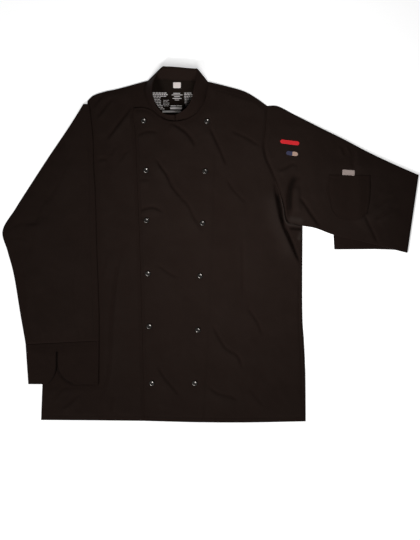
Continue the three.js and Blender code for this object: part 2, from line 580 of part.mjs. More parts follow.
// Stand collar: a band between its neck seam and its upper edge
const collarLevel = { back: LAYER, under: 2 * LAYER, over: 3 * LAYER };
function collarLine(columns) {
  const points = COLLAR.map((row) => new THREE.Vector3(...columns(row)));
  const line = new THREE.CatmullRomCurve3(points, false, 'centripetal');
  return Array.from({ length: COLLAR_STEPS + 1 }, (_, step) => line.getPoint(step / COLLAR_STEPS));
}
const seamLine = collarLine(([x, y, on]) => [x, y, collarLevel[on] + COLLAR_WALL / 2]);
const edgeLine = collarLine(([, , on, x, y, rise]) => [x, y, collarLevel[on] + rise]);
const COLLAR_ROWS = [0, 0.33, 0.67, 1];
const collarMiddle = COLLAR_ROWS.map((share) => seamLine.map((p, i) => {
  const bow = COLLAR_BOW * Math.sin(Math.PI * share);
  return p.clone().lerp(edgeLine[i], share).addScaledVector(UP, bow);
}));
const collarNormals = collarMiddle.map((row) => row.map((p, i) => {
  const run = row[Math.min(i + 1, row.length - 1)].clone().sub(row[Math.max(i - 1, 0)]);
  const ruling = edgeLine[i].clone().sub(seamLine[i]);
  return run.cross(ruling).normalize();
}));
const collarSide = (side) => collarMiddle.map((row, j) => row.map((p, i) => (
  p.clone().addScaledVector(collarNormals[j][i], side * COLLAR_WALL / 2)
)));
add('collar', sheetBetween(collarSide(-1), collarSide(1)), COLORS.cloth);

// Press studs: a low metal cap with a raised ring and a dished middle. Columns: radius, height
const STUD_PROFILE = [
  [0, 0], [STUD_RADIUS - 0.6, 0], [STUD_RADIUS, 0.8], [STUD_RADIUS - 0.7, 2], [STUD_RADIUS - 2, STUD_HEIGHT],
  [STUD_RADIUS - 3.4, 1.7], [0, 1.5],
];
const UNDER_STUD = [0, 0.33, 0.67, 1];   // shares of its radius at which the cloth below is felt
function studAt(name, x, y) {
  const around = UNDER_STUD.flatMap((share) => Array.from({ length: STUD_SIDES }, (_, i) => {
    const angle = i * 2 * Math.PI / STUD_SIDES;
    const reach = share * STUD_RADIUS;
    return overTop(x + reach * Math.cos(angle), y + reach * Math.sin(angle));
  }));
  const profile = STUD_PROFILE.map(([radius, height]) => new THREE.Vector2(radius, height));
  const cap = new THREE.LatheGeometry(profile, STUD_SIDES);
  cap.rotateX(Math.PI / 2);
  const stud = add(name, cap, COLORS.stud, STUD_FINISH.roughness, STUD_FINISH.metalness);
  stud.position.set(x, y, Math.max(...around) + SEAM);
}
LEFT_STUDS.forEach(([x, y], row) => studAt(`stud_left_${row + 1}`, x, y));
RIGHT_STUDS.forEach(([x, y], row) => studAt(`stud_right_${row + 1}`, x, y));

export default group;
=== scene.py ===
# %% [markdown]
# A chef jacket lies flat on a table, front up, with one forearm folded under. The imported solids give
# every place and size, and this lesson makes the cloth, the seams and the studs that are seen.
# The frame comes first, because each piece stands for one of its solids.

# %% Load the fixed frame
import math

import bpy
import numpy as np
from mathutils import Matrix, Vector, noise
from mathutils.bvhtree import BVHTree


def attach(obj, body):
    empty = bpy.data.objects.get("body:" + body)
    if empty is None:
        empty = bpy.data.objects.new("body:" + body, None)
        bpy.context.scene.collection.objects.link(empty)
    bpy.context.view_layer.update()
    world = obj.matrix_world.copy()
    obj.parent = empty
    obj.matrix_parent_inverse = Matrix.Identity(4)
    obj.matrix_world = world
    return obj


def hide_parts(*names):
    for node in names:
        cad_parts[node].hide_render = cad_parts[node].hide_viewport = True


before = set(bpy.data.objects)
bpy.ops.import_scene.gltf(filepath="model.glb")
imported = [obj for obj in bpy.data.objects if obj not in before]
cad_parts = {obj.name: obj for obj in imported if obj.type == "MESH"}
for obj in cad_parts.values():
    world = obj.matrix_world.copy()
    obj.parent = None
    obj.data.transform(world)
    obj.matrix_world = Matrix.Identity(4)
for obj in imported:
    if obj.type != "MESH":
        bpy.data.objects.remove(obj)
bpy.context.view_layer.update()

bpy.ops.object.select_all(action="DESELECT")
print("solids in the frame:", len(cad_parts))

# %% [markdown]
# The photograph looks straight down and the jacket has next to no perspective in it, so the camera
# hangs high above the table with a long lens. One pixel of the picture is 2.2 mm on the table.

# %% Camera
PIXEL = 0.0022
PHOTO_HEIGHT = 540
MIDDLE_OF_VIEW = (-0.0014, -0.0561)
LENS = 200
SENSOR = 36


def new_object(name, data):
    thing = bpy.data.objects.new(name, data)
    bpy.context.scene.collection.objects.link(thing)
    return thing


def add_camera():
    data = bpy.data.cameras.new("camera")
    data.sensor_fit = "VERTICAL"
    data.sensor_height = SENSOR
    data.lens = LENS
    camera = new_object("camera", data)
    camera.location = (*MIDDLE_OF_VIEW, PHOTO_HEIGHT * PIXEL * LENS / SENSOR)
    bpy.context.scene.camera = camera
    return camera


camera = add_camera()
print("camera height:", round(camera.location.z, 2), "m")

# %% [markdown]
# The jacket is nearly black and the picture is brightest along its middle, so one soft oblong lamp
# hangs low over the chest. It is kept out of reflections, or each stud would show it. A second lamp
# stands far away below the hem and to the left. It draws the folds and puts the crescent in each
# stud. The floor is white and lit a little from within, so it stays white while the cloth is dim.

# %% Floor and lamps
STUDIO = [
    # name, place, aim, size, power, reflected
    ("lamp_over", (0.04, 0.02, 0.45), (0.04, 0.02, 0), (0.24, 0.5), 2.02, False),
    ("lamp_below", (-1.5, -2.3, 2.3), (0, 0, 0), (0.7, 0.7), 70.0, True),
]
FLOOR_SIZE = 12
FLOOR_LEVEL = -0.0003
FLOOR_FACE = {
    "Base Color": (0.88, 0.88, 0.88, 1),
    "Roughness": 0.9,
    "Specular IOR Level": 0.1,
    "Emission Color": (1, 1, 1, 1),
    "Emission Strength": 0.62,
}
SKY = {"Color": (1, 1, 1, 1), "Strength": 0.042}


def add_lamp(name, place, aim, size, power, reflected):
    data = bpy.data.lights.new(name, "AREA")
    data.shape = "ELLIPSE"
    data.size, data.size_y = size
    data.energy = power
    lamp = new_object(name, data)
    lamp.location = place
    lamp.rotation_euler = (Vector(aim) - Vector(place)).to_track_quat("-Z", "Y").to_euler()
    lamp.visible_camera = False
    lamp.visible_glossy = reflected


def put(node, values):
    """Gives a node's own sockets these values."""
    for name, value in values.items():
        node.inputs[name].default_value = value
    return node


def new_finish(name):
    material = bpy.data.materials.new(name)
    material.use_nodes = True
    return material, material.node_tree, material.node_tree.nodes["Principled BSDF"]


def add_floor():
    bpy.ops.mesh.primitive_plane_add(size=FLOOR_SIZE, location=(0, 0, FLOOR_LEVEL))
    floor = bpy.context.object
    floor.name = "floor"
    material, _, shader = new_finish("white_table")
    put(shader, FLOOR_FACE)
    floor.data.materials.append(material)


def add_sky():
    world = bpy.data.worlds.new("soft_room")
    world.use_nodes = True
    put(world.node_tree.nodes["Background"], SKY)
    bpy.context.scene.world = world


for row in STUDIO:
    add_lamp(*row)
add_floor()
add_sky()
bpy.context.scene.view_settings.view_transform = "Standard"
print("lamps:", len(STUDIO))

# %% [markdown]
# The outlines are the pattern maker's lines. They are written in millimetres, as a cutting table
# uses them, and turned into metres when they are read. x runs across the jacket, y to the collar.

# %% Pattern lines
MM = 0.001
LEFT_SHOULDER = [(-271, 316), (-259, 327), (-230, 337), (-210, 341), (-140, 360)]
LEFT_ARMHOLE = [
    (-271, 316), (-272, 274), (-275, 221), (-292, 162), (-314, 91), (-325, 61), (-338, 46), (-359, 41),
]
LEFT_SIDE = [(-359, 41), (-364, -166), (-370, -307), (-373, -386)]
RIGHT_SHOULDER = [(-5, 358), (32, 349), (76, 336), (105, 319), (124, 305)]
RIGHT_ARMHOLE = [
    (124, 305), (120, 252), (117, 221), (121, 195), (135, 161), (146, 133), (156.5, 101), (162.5, 74),
    (165, 58), (169.5, 49), (182, 45.5), (202, 41),
]
RIGHT_SIDE = [(202, 41), (202, -166), (205, -210), (208, -278), (209, -389)]
BACK_NECK = [(-140, 360), (-118, 365), (-76, 364), (-32, 362), (-5, 358)]
OVER_EDGE = [
    (-169, 300), (-171, 285), (-166, 252), (-162, 151), (-158, 61), (-153, -89), (-146, -342), (-144, -388),
]
OVER_NECK = [
    (-169, 300), (-149, 301), (-131, 295), (-113, 281), (-97, 273), (-81, 271), (-61, 273), (-45, 279),
    (-30, 290), (-12, 320), (-9, 344), (-5, 358),
]
UNDER_EDGE = [(10, 298), (5, 208), (1, 54), (-4, -89), (-17, -342), (-20, -389)]
UNDER_NECK = [
    (-140, 360), (-139, 338), (-136, 320), (-127, 301), (-114, 287), (-98, 275), (-81, 272), (-61, 274),
    (-34, 292), (-15, 316), (-3, 312), (10, 298),
]
HEM_LEFT = [(-373, -386), (-243, -387), (-144, -388)]
HEM_RIGHT = [(-144, -388), (-23, -391), (76, -391.5), (209, -389)]
HEM_UNDER = [(-373, -386), (-243, -387), (-144, -388), (-20, -389)]
HEM = HEM_LEFT + HEM_RIGHT[1:]
LEFT_SLEEVE_OUTER = [
    (-280, 309), (-306, 267), (-358, 190), (-395, 133), (-430, 78), (-458, 29), (-447, -14), (-434, -62),
    (-419, -151), (-407, -220),
]
LEFT_SLEEVE_INNER = [
    (-268, 309), (-264, 280), (-259, 234), (-258, 197), (-257, 164), (-254, 120), (-252, 54), (-251, 14),
    (-245, -166), (-245, -212),
]
LEFT_CUFF_OUTER = [(-407, -220.5), (-401, -307)]
LEFT_CUFF_INNER = [(-245, -212.5), (-246, -308)]
RIGHT_SLEEVE_TOP = [
    (124, 305), (145, 305), (184, 286), (241, 257), (290, 233), (345, 204), (400, 178), (455, 154),
]
RIGHT_SLEEVE_UNDER = [(202, 41), (230, 36), (268, 22), (351, 2), (430, -18)]
FOREARM_OUTER = [(455, 154), (359, 147)]
FOREARM_INNER = [(430, -18), (414, -13), (359, -10)]
RIGHT_CUFF_OUTER = [(358.6, 147), (263, 141)]
RIGHT_CUFF_INNER = [(358.6, -10), (272, -11)]


def smooth_line(rows):
    """A dense smooth line through listed rows, in metres."""
    spots = np.array(rows, float) * MM
    ends = [2 * spots[:1] - spots[1:2], 2 * spots[-1:] - spots[-2:-1]]
    around = np.vstack([ends[0], spots, ends[1]])
    step = np.sqrt(np.linalg.norm(np.diff(around, axis=0), axis=1))
    share = np.linspace(0, 1, 17)[:, None]
    runs = []
    for i in range(len(spots) - 1):
        a, b, c, d = around[i:i + 4]
        before, here, after = step[i:i + 3]
        leave = ((b - a) / before - (c - a) / (before + here) + (c - b) / here) * here
        reach = ((c - b) / here - (d - b) / (here + after) + (d - c) / after) * here
        run = (2 * share**3 - 3 * share**2 + 1) * b + (share**3 - 2 * share**2 + share) * leave
        run = run + (3 * share**2 - 2 * share**3) * c + (share**3 - share**2) * reach
        runs.append(run if i == 0 else run[1:])
    return np.vstack(runs)


def joined(*lines):
    """Several lines end to end as one."""
    return np.vstack([lines[0]] + [line[1:] for line in lines[1:]])


def lengths(line):
    return np.concatenate([[0], np.cumsum(np.linalg.norm(np.diff(line, axis=0), axis=1))])


def places(line, shares):
    """The places at these shares of a line's length."""
    run = lengths(line)
    at = np.asarray(shares) * run[-1]
    return np.stack([np.interp(at, run, line[:, k]) for k in range(line.shape[1])], 1)


def smooth(value, start, end):
    """0 before start, 1 after end, and a soft change between them."""
    t = np.clip((value - start) / (end - start), 0, 1)
    return t * t * (3 - 2 * t)


print("front edge:", round(lengths(smooth_line(OVER_EDGE))[-1], 3), "m")

# %% [markdown]
# Cloth is a grid of points between four pattern lines. Near a cut edge the rows lie close together,
# so that a hem or a seam can be rounded, and elsewhere they are a few millimetres apart.

# %% Grids between pattern lines
CELL = 2.4 * MM
CLOSE_ROWS = np.array([0, 0.7, 1.6, 2.7, 3.9, 5.2, 6.6, 8.1, 9.8]) * MM


def spread(length, cell=CELL):
    """Shares of a length that lie close together at both ends, with an even number of cells."""
    count = 2 * max(2, round((length - 2 * CLOSE_ROWS[-1]) / cell / 2))
    middle = np.linspace(CLOSE_ROWS[-1], length - CLOSE_ROWS[-1], count + 1)
    return np.concatenate([CLOSE_ROWS[:-1], middle, length - CLOSE_ROWS[-2::-1]]) / length


def fill(top, bottom, left, right, across, down):
    """Plan places between four lines. Rows go down the jacket and columns to the right."""
    t, b = places(top, across), places(bottom, across)
    l, r = places(left, down), places(right, down)
    u, v = across[None, :, None], down[:, None, None]
    sides = (1 - v) * t[None] + v * b[None] + (1 - u) * l[:, None] + u * r[:, None]
    corners = (1 - u) * (1 - v) * t[0] + u * (1 - v) * t[-1] + (1 - u) * v * b[0] + u * v * b[-1]
    return sides - corners


# %% [markdown]
# A fold in flat cloth swells up gently, drops off steeply and ends in a narrow trough. Each fold here
# is a listed line. On the right of the line's run is the gentle swell, and on its left
# are the steep side and the trough, where the light doesn't reach. Several folds are added up, each
# fades towards its ends, and a slow unevenness keeps the calm stretches from looking like sheet metal.

# %% Folds
def beside(line, x, y):
    """For each place: the signed distance from a line, left being positive, and the share along it."""
    run = lengths(line)
    best = np.full(x.shape, np.inf)
    signed, share = np.zeros(x.shape), np.zeros(x.shape)
    for i in range(len(line) - 1):
        start, way = line[i], line[i + 1] - line[i]
        size = math.hypot(*way)
        along = np.clip(((x - start[0]) * way[0] + (y - start[1]) * way[1]) / size**2, 0, 1)
        off_x, off_y = x - start[0] - along * way[0], y - start[1] - along * way[1]
        gap = np.hypot(off_x, off_y)
        near = gap < best
        best = np.where(near, gap, best)
        side = np.sign(way[0] * off_y - way[1] * off_x)
        signed = np.where(near, gap * side, signed)
        share = np.where(near, (run[i] + along * size) / run[-1], share)
    return signed, share


CREST = 4.2 * MM
SWELL_SHARE = 0.45
TROUGH = 3.6 * MM
TROUGH_SHARE = 0.75
TROUGH_PLACE = 1.6 * MM


def along_lines(rows, x, y):
    """For each row: how far off its line each place is, and a fade to 0 at the line's ends."""
    for points, *sizes in rows:
        line = places(smooth_line(points), np.linspace(0, 1, 4 * len(points)))
        off, share = beside(line, x, y)
        fade = smooth(share, -0.02, 0.2) * (1 - smooth(share, 0.8, 1.02))
        yield off, fade, np.array(sizes) * MM


def folded(rows, x, y):
    """The height that a table of folds adds."""
    height = np.zeros(x.shape)
    for off, fade, (rise, steep, gentle) in along_lines(rows, x, y):
        swell = np.exp(-(((off + CREST) / np.where(off > -CREST, steep, gentle)) ** 2))
        trough = np.exp(-(((off - TROUGH_PLACE) / TROUGH) ** 2))
        height += rise * fade * (SWELL_SHARE * swell - TROUGH_SHARE * trough)
    return height


def ridged(rows, x, y):
    """The height of plain ridges, or of grooves where the rise is below 0."""
    height = np.zeros(x.shape)
    for off, fade, (rise, left, right) in along_lines(rows, x, y):
        height += rise * fade * np.exp(-((off / np.where(off > 0, left, right)) ** 2))
    return height


def unevenness(x, y, size, depth, seed):
    """A slow random rise and fall of the cloth."""
    flat = zip((x / size).ravel(), (y / size).ravel())
    waves = [noise.fractal(Vector((a, b, seed)), 1.0, 2.0, 2) for a, b in flat]
    return depth * np.array(waves).reshape(x.shape)


def edge_x(rows, y):
    """Where a line that runs down the jacket is at these heights."""
    line = np.array(rows, float) * MM
    return np.interp(-y, -line[:, 1], line[:, 0])


# %% [markdown]
# The finishes come next. The twill is a nearly black cotton blend. Its diagonal ribs are under a
# millimetre apart, so they are a fine relief on the piece's own flat measure, with slow changes of
# tone, some lint, a lighter tone where a fold stands up, partly wear and partly painted highlight,
# and painted shade deep in the trough of a fold.

# %% Twill
TWILL_RIB = 0.9 * MM
WAVE_PERIOD = 0.628
# Painted shade: the dark tone mixed in deep in the trough of a fold.
PAINTED_SHADE_TONE = (0.0036, 0.0026, 0.0022)
# A lighter tone for raised cloth: partly wear, partly painted highlight.
WEAR_AND_PAINTED_HIGHLIGHT_TONE = (0.022, 0.0165, 0.014)
LINT_TONE = (0.05, 0.045, 0.04)
RIBS = {"Scale": WAVE_PERIOD / TWILL_RIB, "Distortion": 0.6, "Detail": 1}
SLOW_CHANGE = {"Scale": 14, "Detail": 4}
LINT = {"Scale": 260}
# Turns the cloth's amount below 0 into painted shade.
PAINTED_SHADE_RANGE = {"From Min": 0.0, "From Max": -1.0}
LINT_RANGE = {"From Min": 0.05, "From Max": 0.0, "To Max": 0.3}
RIB_RELIEF = {"Strength": 0.35, "Distance": 0.12 * MM}
CLOTH_FACE = {
    "Roughness": 0.72,
    "Specular IOR Level": 0.08,
    "Specular Tint": (1.0, 0.66, 0.55, 1),
    "Sheen Weight": 0.004,
    "Sheen Roughness": 0.5,
    "Sheen Tint": (1.0, 0.6, 0.5, 1),
}


def link(tree, source, output, target, name):
    tree.links.new(source.outputs[output], target.inputs[name])


def blend(tree, source, output, high):
    """A mix that goes to the high colour by the amount that a node gives."""
    mix = tree.nodes.new("ShaderNodeMix")
    mix.data_type = "RGBA"
    mix.inputs["B"].default_value = (*high, 1)
    link(tree, source, output, mix, "Factor")
    return mix


def tint(tree, cloud, low, high):
    """A slow change between two colours."""
    mix = blend(tree, cloud, "Fac", high)
    mix.inputs["A"].default_value = (*low, 1)
    return mix


def twill(name, dark, light, wear_and_painted_light):
    material, tree, shader = new_finish(name)
    flat = tree.nodes.new("ShaderNodeUVMap")
    ribs = put(tree.nodes.new("ShaderNodeTexWave"), RIBS)
    ribs.bands_direction = "DIAGONAL"
    slow = put(tree.nodes.new("ShaderNodeTexNoise"), SLOW_CHANGE)
    lint = put(tree.nodes.new("ShaderNodeTexVoronoi"), LINT)
    for pattern in (ribs, slow, lint):
        link(tree, flat, "UV", pattern, "Vector")
    # The cloth's signed amount: below 0 it mixes in painted shade, above 0 a lighter tone that is partly wear
    # and partly painted highlight.
    wear_and_painted_light_amount = tree.nodes.new("ShaderNodeAttribute")
    wear_and_painted_light_amount.attribute_name = "wear_and_painted_light"
    painted_shade = put(tree.nodes.new("ShaderNodeMapRange"), PAINTED_SHADE_RANGE)
    link(tree, wear_and_painted_light_amount, "Fac", painted_shade, "Value")
    speck = put(tree.nodes.new("ShaderNodeMapRange"), LINT_RANGE)
    link(tree, lint, "Distance", speck, "Value")
    tone = tint(tree, slow, dark, light)
    for source, output, color in (
        (painted_shade, "Result", PAINTED_SHADE_TONE), (wear_and_painted_light_amount, "Fac", wear_and_painted_light), (speck, "Result", LINT_TONE),
    ):
        over = blend(tree, source, output, color)
        link(tree, tone, "Result", over, "A")
        tone = over
    link(tree, tone, "Result", shader, "Base Color")
    bump = put(tree.nodes.new("ShaderNodeBump"), RIB_RELIEF)
    link(tree, ribs, "Fac", bump, "Height")
    link(tree, bump, "Normal", shader, "Normal")
    put(shader, CLOTH_FACE)
    return material


collar_twill = twill("collar_twill", (0.0122, 0.0076, 0.0061), (0.0156, 0.0098, 0.008), WEAR_AND_PAINTED_HIGHLIGHT_TONE)
black_twill = twill("black_twill", (0.0108, 0.0068, 0.0055), (0.0138, 0.0087, 0.0071), WEAR_AND_PAINTED_HIGHLIGHT_TONE)
inner_twill = twill("inner_twill", (0.0108, 0.0077, 0.006), (0.0134, 0.0098, 0.0076), (0.018, 0.0132, 0.011))

# %% [markdown]
# Small trims have plain finishes of their own: sewing thread, burnished stud metal, woven tape and
# the print ink inside the neck.

# %% Trims
TONE_LOW = 0.86
TONE_HIGH = 1.12
GRAIN_DETAIL = 3
GRAIN_DEPTH = 0.1 * MM
METAL = {"metallic": 1.0, "grain": 0.08, "grain_size": 900, "coarse": 0.1}
WOVEN = {"grain": 0.5, "grain_size": 1400}
THREAD_GLOSS = {"Specular IOR Level": 0.1}


def plain(name, color, roughness, metallic=0.0, grain=0.0, grain_size=600, coarse=0.0):
    """A finish with a fine grain and a slight change of tone."""
    material, tree, shader = new_finish(name)
    place = tree.nodes.new("ShaderNodeTexCoord")
    cloud = put(tree.nodes.new("ShaderNodeTexNoise"), {"Scale": grain_size, "Detail": GRAIN_DETAIL})
    link(tree, place, "Object", cloud, "Vector")
    low = tuple(channel * (TONE_LOW - coarse) for channel in color)
    high = tuple(min(1, channel * (TONE_HIGH + coarse)) for channel in color)
    link(tree, tint(tree, cloud, low, high), "Result", shader, "Base Color")
    bump = put(tree.nodes.new("ShaderNodeBump"), {"Strength": grain, "Distance": GRAIN_DEPTH})
    link(tree, cloud, "Fac", bump, "Height")
    link(tree, bump, "Normal", shader, "Normal")
    put(shader, {"Roughness": roughness, "Metallic": metallic})
    return material


thread_black = plain("thread_black", (0.0056, 0.0038, 0.0032), 0.7, grain=0.3, grain_size=2500)
put(thread_black.node_tree.nodes["Principled BSDF"], THREAD_GLOSS)
stud_metal = plain("stud_metal", (0.27, 0.25, 0.235), 0.36, **METAL)
tape_white = plain("tape_white", (0.84, 0.76, 0.73), 0.85, **WOVEN)
tape_red = plain("tape_red", (0.62, 0.016, 0.022), 0.8, **WOVEN)
tape_blue = plain("tape_blue", (0.035, 0.036, 0.075), 0.8, **WOVEN)
tape_sand = plain("tape_sand", (0.42, 0.28, 0.22), 0.8, **WOVEN)
tape_grey = plain("tape_grey", (0.36, 0.29, 0.265), 0.85, **WOVEN)
ink_white = plain("ink_white", (0.98, 0.86, 0.82), 0.8, grain=0.1, grain_size=2200, coarse=0.1)
print("finishes:", len(bpy.data.materials))

# %% [markdown]
# Two builders make all of the cloth. A panel is a closed shell between an upper and a lower grid,
# so its wall can be one cloth thick in the middle and three at a hem.

# %% Panels
WALL = 0.5 * MM


def add_mesh(name, points, faces, material, flat=None, wear_and_painted_light_amount=None):
    """A mesh piece with smooth faces, a flat measure for the weave and an amount from -1, painted shade
    deep in the trough of a fold, to 1, a lighter tone where the cloth stands up, partly wear and partly
    painted highlight."""
    mesh = bpy.data.meshes.new(name)
    mesh.from_pydata([tuple(p) for p in points], [], [tuple(int(k) for k in f) for f in faces])
    mesh.update()
    piece = new_object(name, mesh)
    mesh.materials.append(material)
    corner = np.zeros(len(mesh.loops), np.int32)
    mesh.loops.foreach_get("vertex_index", corner)
    if flat is not None:
        layer = mesh.uv_layers.new(name="flat")
        layer.data.foreach_set("uv", np.asarray(flat, np.float32)[corner].ravel())
    wear_and_painted_light_amount = np.zeros(len(points)) if wear_and_painted_light_amount is None else wear_and_painted_light_amount
    amount = mesh.attributes.new("wear_and_painted_light", "FLOAT", "POINT")
    amount.data.foreach_set("value", np.clip(wear_and_painted_light_amount, -1, 1).astype(np.float32))
    mesh.shade_smooth()
    return piece


def quads(rows, columns, start=0):
    """The faces of a grid that is seen from above."""
    index = start + np.arange(rows * columns).reshape(rows, columns)
    corners = [index[:-1, :-1], index[1:, :-1], index[1:, 1:], index[:-1, 1:]]
    return np.stack([c.ravel() for c in corners], 1)


def below(height, wall):
    """Every second place of a grid, lowered past the cloth around it by the wall."""
    rows, columns = height.shape
    padded = np.pad(height, 1, mode="edge")
    around = [padded[i:i + rows, j:j + columns] for i in range(3) for j in range(3)]
    return (np.min(around, axis=0) - wall)[::2, ::2]


def shell(name, upper, lower, material, flat, wear_and_painted_light_amount=None):
    """A closed sheet: a fine upper grid, and a lower one that has every second row and column."""
    rows, columns = upper.shape[:2]
    low_rows, low_columns = lower.shape[:2]
    size = rows * columns
    fine, coarse = (np.arange(n * m).reshape(n, m) for n, m in ((rows, columns), (low_rows, low_columns)))
    rims = [np.concatenate([g[0, :-1], g[:-1, -1], g[-1, :0:-1], g[:0:-1, 0]]) for g in (fine, coarse + size)]
    first, middle, last = rims[0][::2], rims[0][1::2], np.roll(rims[0][::2], -1)
    foot, next_foot = rims[1], np.roll(rims[1], -1)
    runs = ((first, middle, foot), (middle, next_foot, foot), (middle, last, next_foot))
    sides = [np.stack(run, 1) for run in runs]
    faces = [*quads(rows, columns), *quads(low_rows, low_columns, size)[:, ::-1], *np.vstack(sides)]
    points = np.vstack([upper.reshape(-1, 3), lower.reshape(-1, 3)])
    both = np.vstack([flat.reshape(-1, 2), flat[::2, ::2].reshape(-1, 2)])
    wear_and_painted_light_amount = None if wear_and_painted_light_amount is None else np.concatenate([wear_and_painted_light_amount.ravel(), wear_and_painted_light_amount[::2, ::2].ravel()])
    return add_mesh(name, points, faces, material, both, wear_and_painted_light_amount)


def lifted(grid, height):
    return np.dstack([grid, height])


def face_outward(piece):
    """Turns a closed piece's faces round if they look inwards."""
    if sum(p.center.dot(p.normal) * p.area for p in piece.data.polygons) < 0:
        piece.data.flip_normals()


def pick(piece):
    """Makes a piece the only one that is selected."""
    bpy.ops.object.select_all(action="DESELECT")
    bpy.context.view_layer.objects.active = piece
    piece.select_set(True)


def finish_cloth(piece, nodes):
    """Hangs a piece of cloth from the root and hides the solids that it stands for."""
    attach(piece, "root")
    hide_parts(*nodes)


def extent(grid):
    size = grid.reshape(-1, grid.shape[-1]).max(0) - grid.reshape(-1, grid.shape[-1]).min(0)
    return float(size[0]), float(size[1])


# %% [markdown]
# The back lies on the table. Only its neck part is seen, through the collar, so it is the plainest
# panel. It thins towards the right armhole, where the sleeve is tucked in above it.

# %% Back
CAD_CLOTH = 1.2 * MM
CAD_GAP = 0.3 * MM
LAYER = CAD_CLOTH + CAD_GAP

left_armhole = smooth_line(LEFT_ARMHOLE)
right_armhole = smooth_line(RIGHT_ARMHOLE)
left_line = joined(left_armhole, smooth_line(LEFT_SIDE))
right_line = joined(right_armhole, smooth_line(RIGHT_SIDE))
back_top = joined(smooth_line(LEFT_SHOULDER), smooth_line(BACK_NECK), smooth_line(RIGHT_SHOULDER))


def make_back():
    across, down = spread(lengths(back_top)[-1], 5 * MM), spread(lengths(left_line)[-1], 5 * MM)
    grid = fill(back_top, smooth_line(HEM), left_line, right_line, across, down)
    x, y = grid[..., 0], grid[..., 1]
    from_armhole = np.abs(beside(places(right_armhole, np.linspace(0, 1, 40)), x, y)[0])
    top = WALL + (CAD_CLOTH - WALL) * smooth(from_armhole, 7 * MM, 16 * MM)
    floor = lifted(grid, 0 * top)[::2, ::2]
    piece = shell("back_cloth", lifted(grid, top), floor, inner_twill, grid)
    return piece, grid


back_cloth, back_grid = make_back()
print("back:", [round(s, 3) for s in extent(back_grid)], "m")

# %% [markdown]
# The under panel is the front that runs on beneath the other one. It only shows between the sleeve
# and the front edge, so its folds stay there and the rest of it lies flat.

# %% Under panel
UNDER_FOLDS = [
    # points, rise, steep side, gentle side
    ([(-231, 226), (-209, 256), (-185, 287), (-153, 331)], 3.6, 4.5, 15),
    ([(-250, 277), (-231, 303), (-215, 322)], 2.4, 4, 8),
    ([(-261, 296), (-246, 318), (-235, 328)], 2.0, 4, 8),
    ([(-221, 193), (-213, 206), (-206, 217)], 0.9, 4, 7),
    ([(-251, 182), (-239, 187), (-226, 186)], 1.6, 5, 10),
    ([(-202, 179), (-191, 195), (-182, 208)], 1.3, 4, 9),
    ([(-244, -353), (-229, -314), (-219, -258), (-216, -170), (-210, -100), (-204, -56), (-188, -1)],
     2.6, 7, 18),
    ([(-237, -74), (-226, -19)], 1.4, 6, 12),
    ([(-217, -369), (-208, -331)], 1.6, 6, 12),
    ([(-346, -346), (-336, -331), (-316, -309)], 1.9, 5, 12),
    ([(-327, -362), (-305, -346), (-290, -329)], 2.1, 5, 12),
]
PUFF = 1.1 * MM
DEEPEST = -0.8 * MM
HEM_FOLD = 10 * MM
RIPPLE_SIZE = 0.03
RIPPLE_DEPTH = 0.7 * MM
# Fold height at which the colour amount is full: a lighter tone above, partly wear and partly painted
# highlight, and painted shade below.
WEAR_AND_PAINTED_LIGHT_RISE = 15 * MM


def above(rows, x, y):
    """How far a place is above the hem."""
    line = np.array(rows, float) * MM
    return y - np.interp(x, line[:, 0], line[:, 1])


def rolled(distance, drop=0.45 * MM):
    """A cut edge rounds down a little."""
    return -drop * np.exp(-np.maximum(distance, 0) / (1.0 * MM))


def hem_line(gap):
    """The groove of the hem's stitching."""
    return -0.35 * MM * np.exp(-(((gap - HEM_FOLD) / (1.6 * MM)) ** 2))


def make_under():
    top_line = joined(smooth_line(LEFT_SHOULDER), smooth_line(UNDER_NECK))
    across, down = spread(lengths(top_line)[-1], 2.7 * MM), spread(lengths(left_line)[-1], 2.7 * MM)
    grid = fill(top_line, smooth_line(HEM_UNDER), left_line, smooth_line(UNDER_EDGE), across, down)
    x, y = grid[..., 0], grid[..., 1]
    gap = above(HEM_UNDER, x, y)
    sleeve_x = edge_x(LEFT_SLEEVE_INNER + [(-246, -308)], y)
    below_cuff = 1 - smooth(y, -322 * MM, -312 * MM)
    free = np.maximum(smooth(x - sleeve_x, 3 * MM, 18 * MM), below_cuff)
    shows = free * (1 - smooth(x, edge_x(OVER_EDGE, y) - 9 * MM, edge_x(OVER_EDGE, y) - 2 * MM))
    seam = np.abs(beside(places(top_line, np.linspace(0, 1, 60)), x, y)[0])
    shows = shows * smooth(seam, 2 * MM, 10 * MM) * smooth(gap, 2 * MM, 14 * MM)
    relief = folded(UNDER_FOLDS, x, y) + unevenness(x, y, 0.07, 0.9 * MM, 3.0) + PUFF
    relief = relief + unevenness(x, y, RIPPLE_SIZE, RIPPLE_DEPTH, 4.0)
    relief = shows * np.maximum(relief, DEEPEST)
    edge = np.minimum(gap, np.abs(x - edge_x(LEFT_ARMHOLE + LEFT_SIDE[1:], y)) + 4 * MM * (y > 0.03))
    top = LAYER + CAD_CLOTH + relief + rolled(edge) + hem_line(gap) * below_cuff
    wall = WALL + 0.5 * MM * (1 - smooth(gap, HEM_FOLD - 1 * MM, HEM_FOLD + 0.5 * MM))
    # The relief's height sets the colour: a lighter tone on crests, partly wear and partly painted highlight,
    # and painted shade in troughs.
    wear_and_painted_light_amount = relief / WEAR_AND_PAINTED_LIGHT_RISE
    low = lifted(grid[::2, ::2], below(top, wall))
    return shell("front_under_cloth", lifted(grid, top), low, black_twill, grid, wear_and_painted_light_amount), grid


front_under_cloth, under_grid = make_under()
print("under panel:", [round(s, 3) for s in extent(under_grid)], "m")

# %% [markdown]
# The over panel is the face of the jacket. It laps over the under panel as far as its front edge,
# and a faint step shows where the hidden edge ends beneath it. Each stud presses the cloth down,
# and near the right armhole the side is bunched into one deep fold.

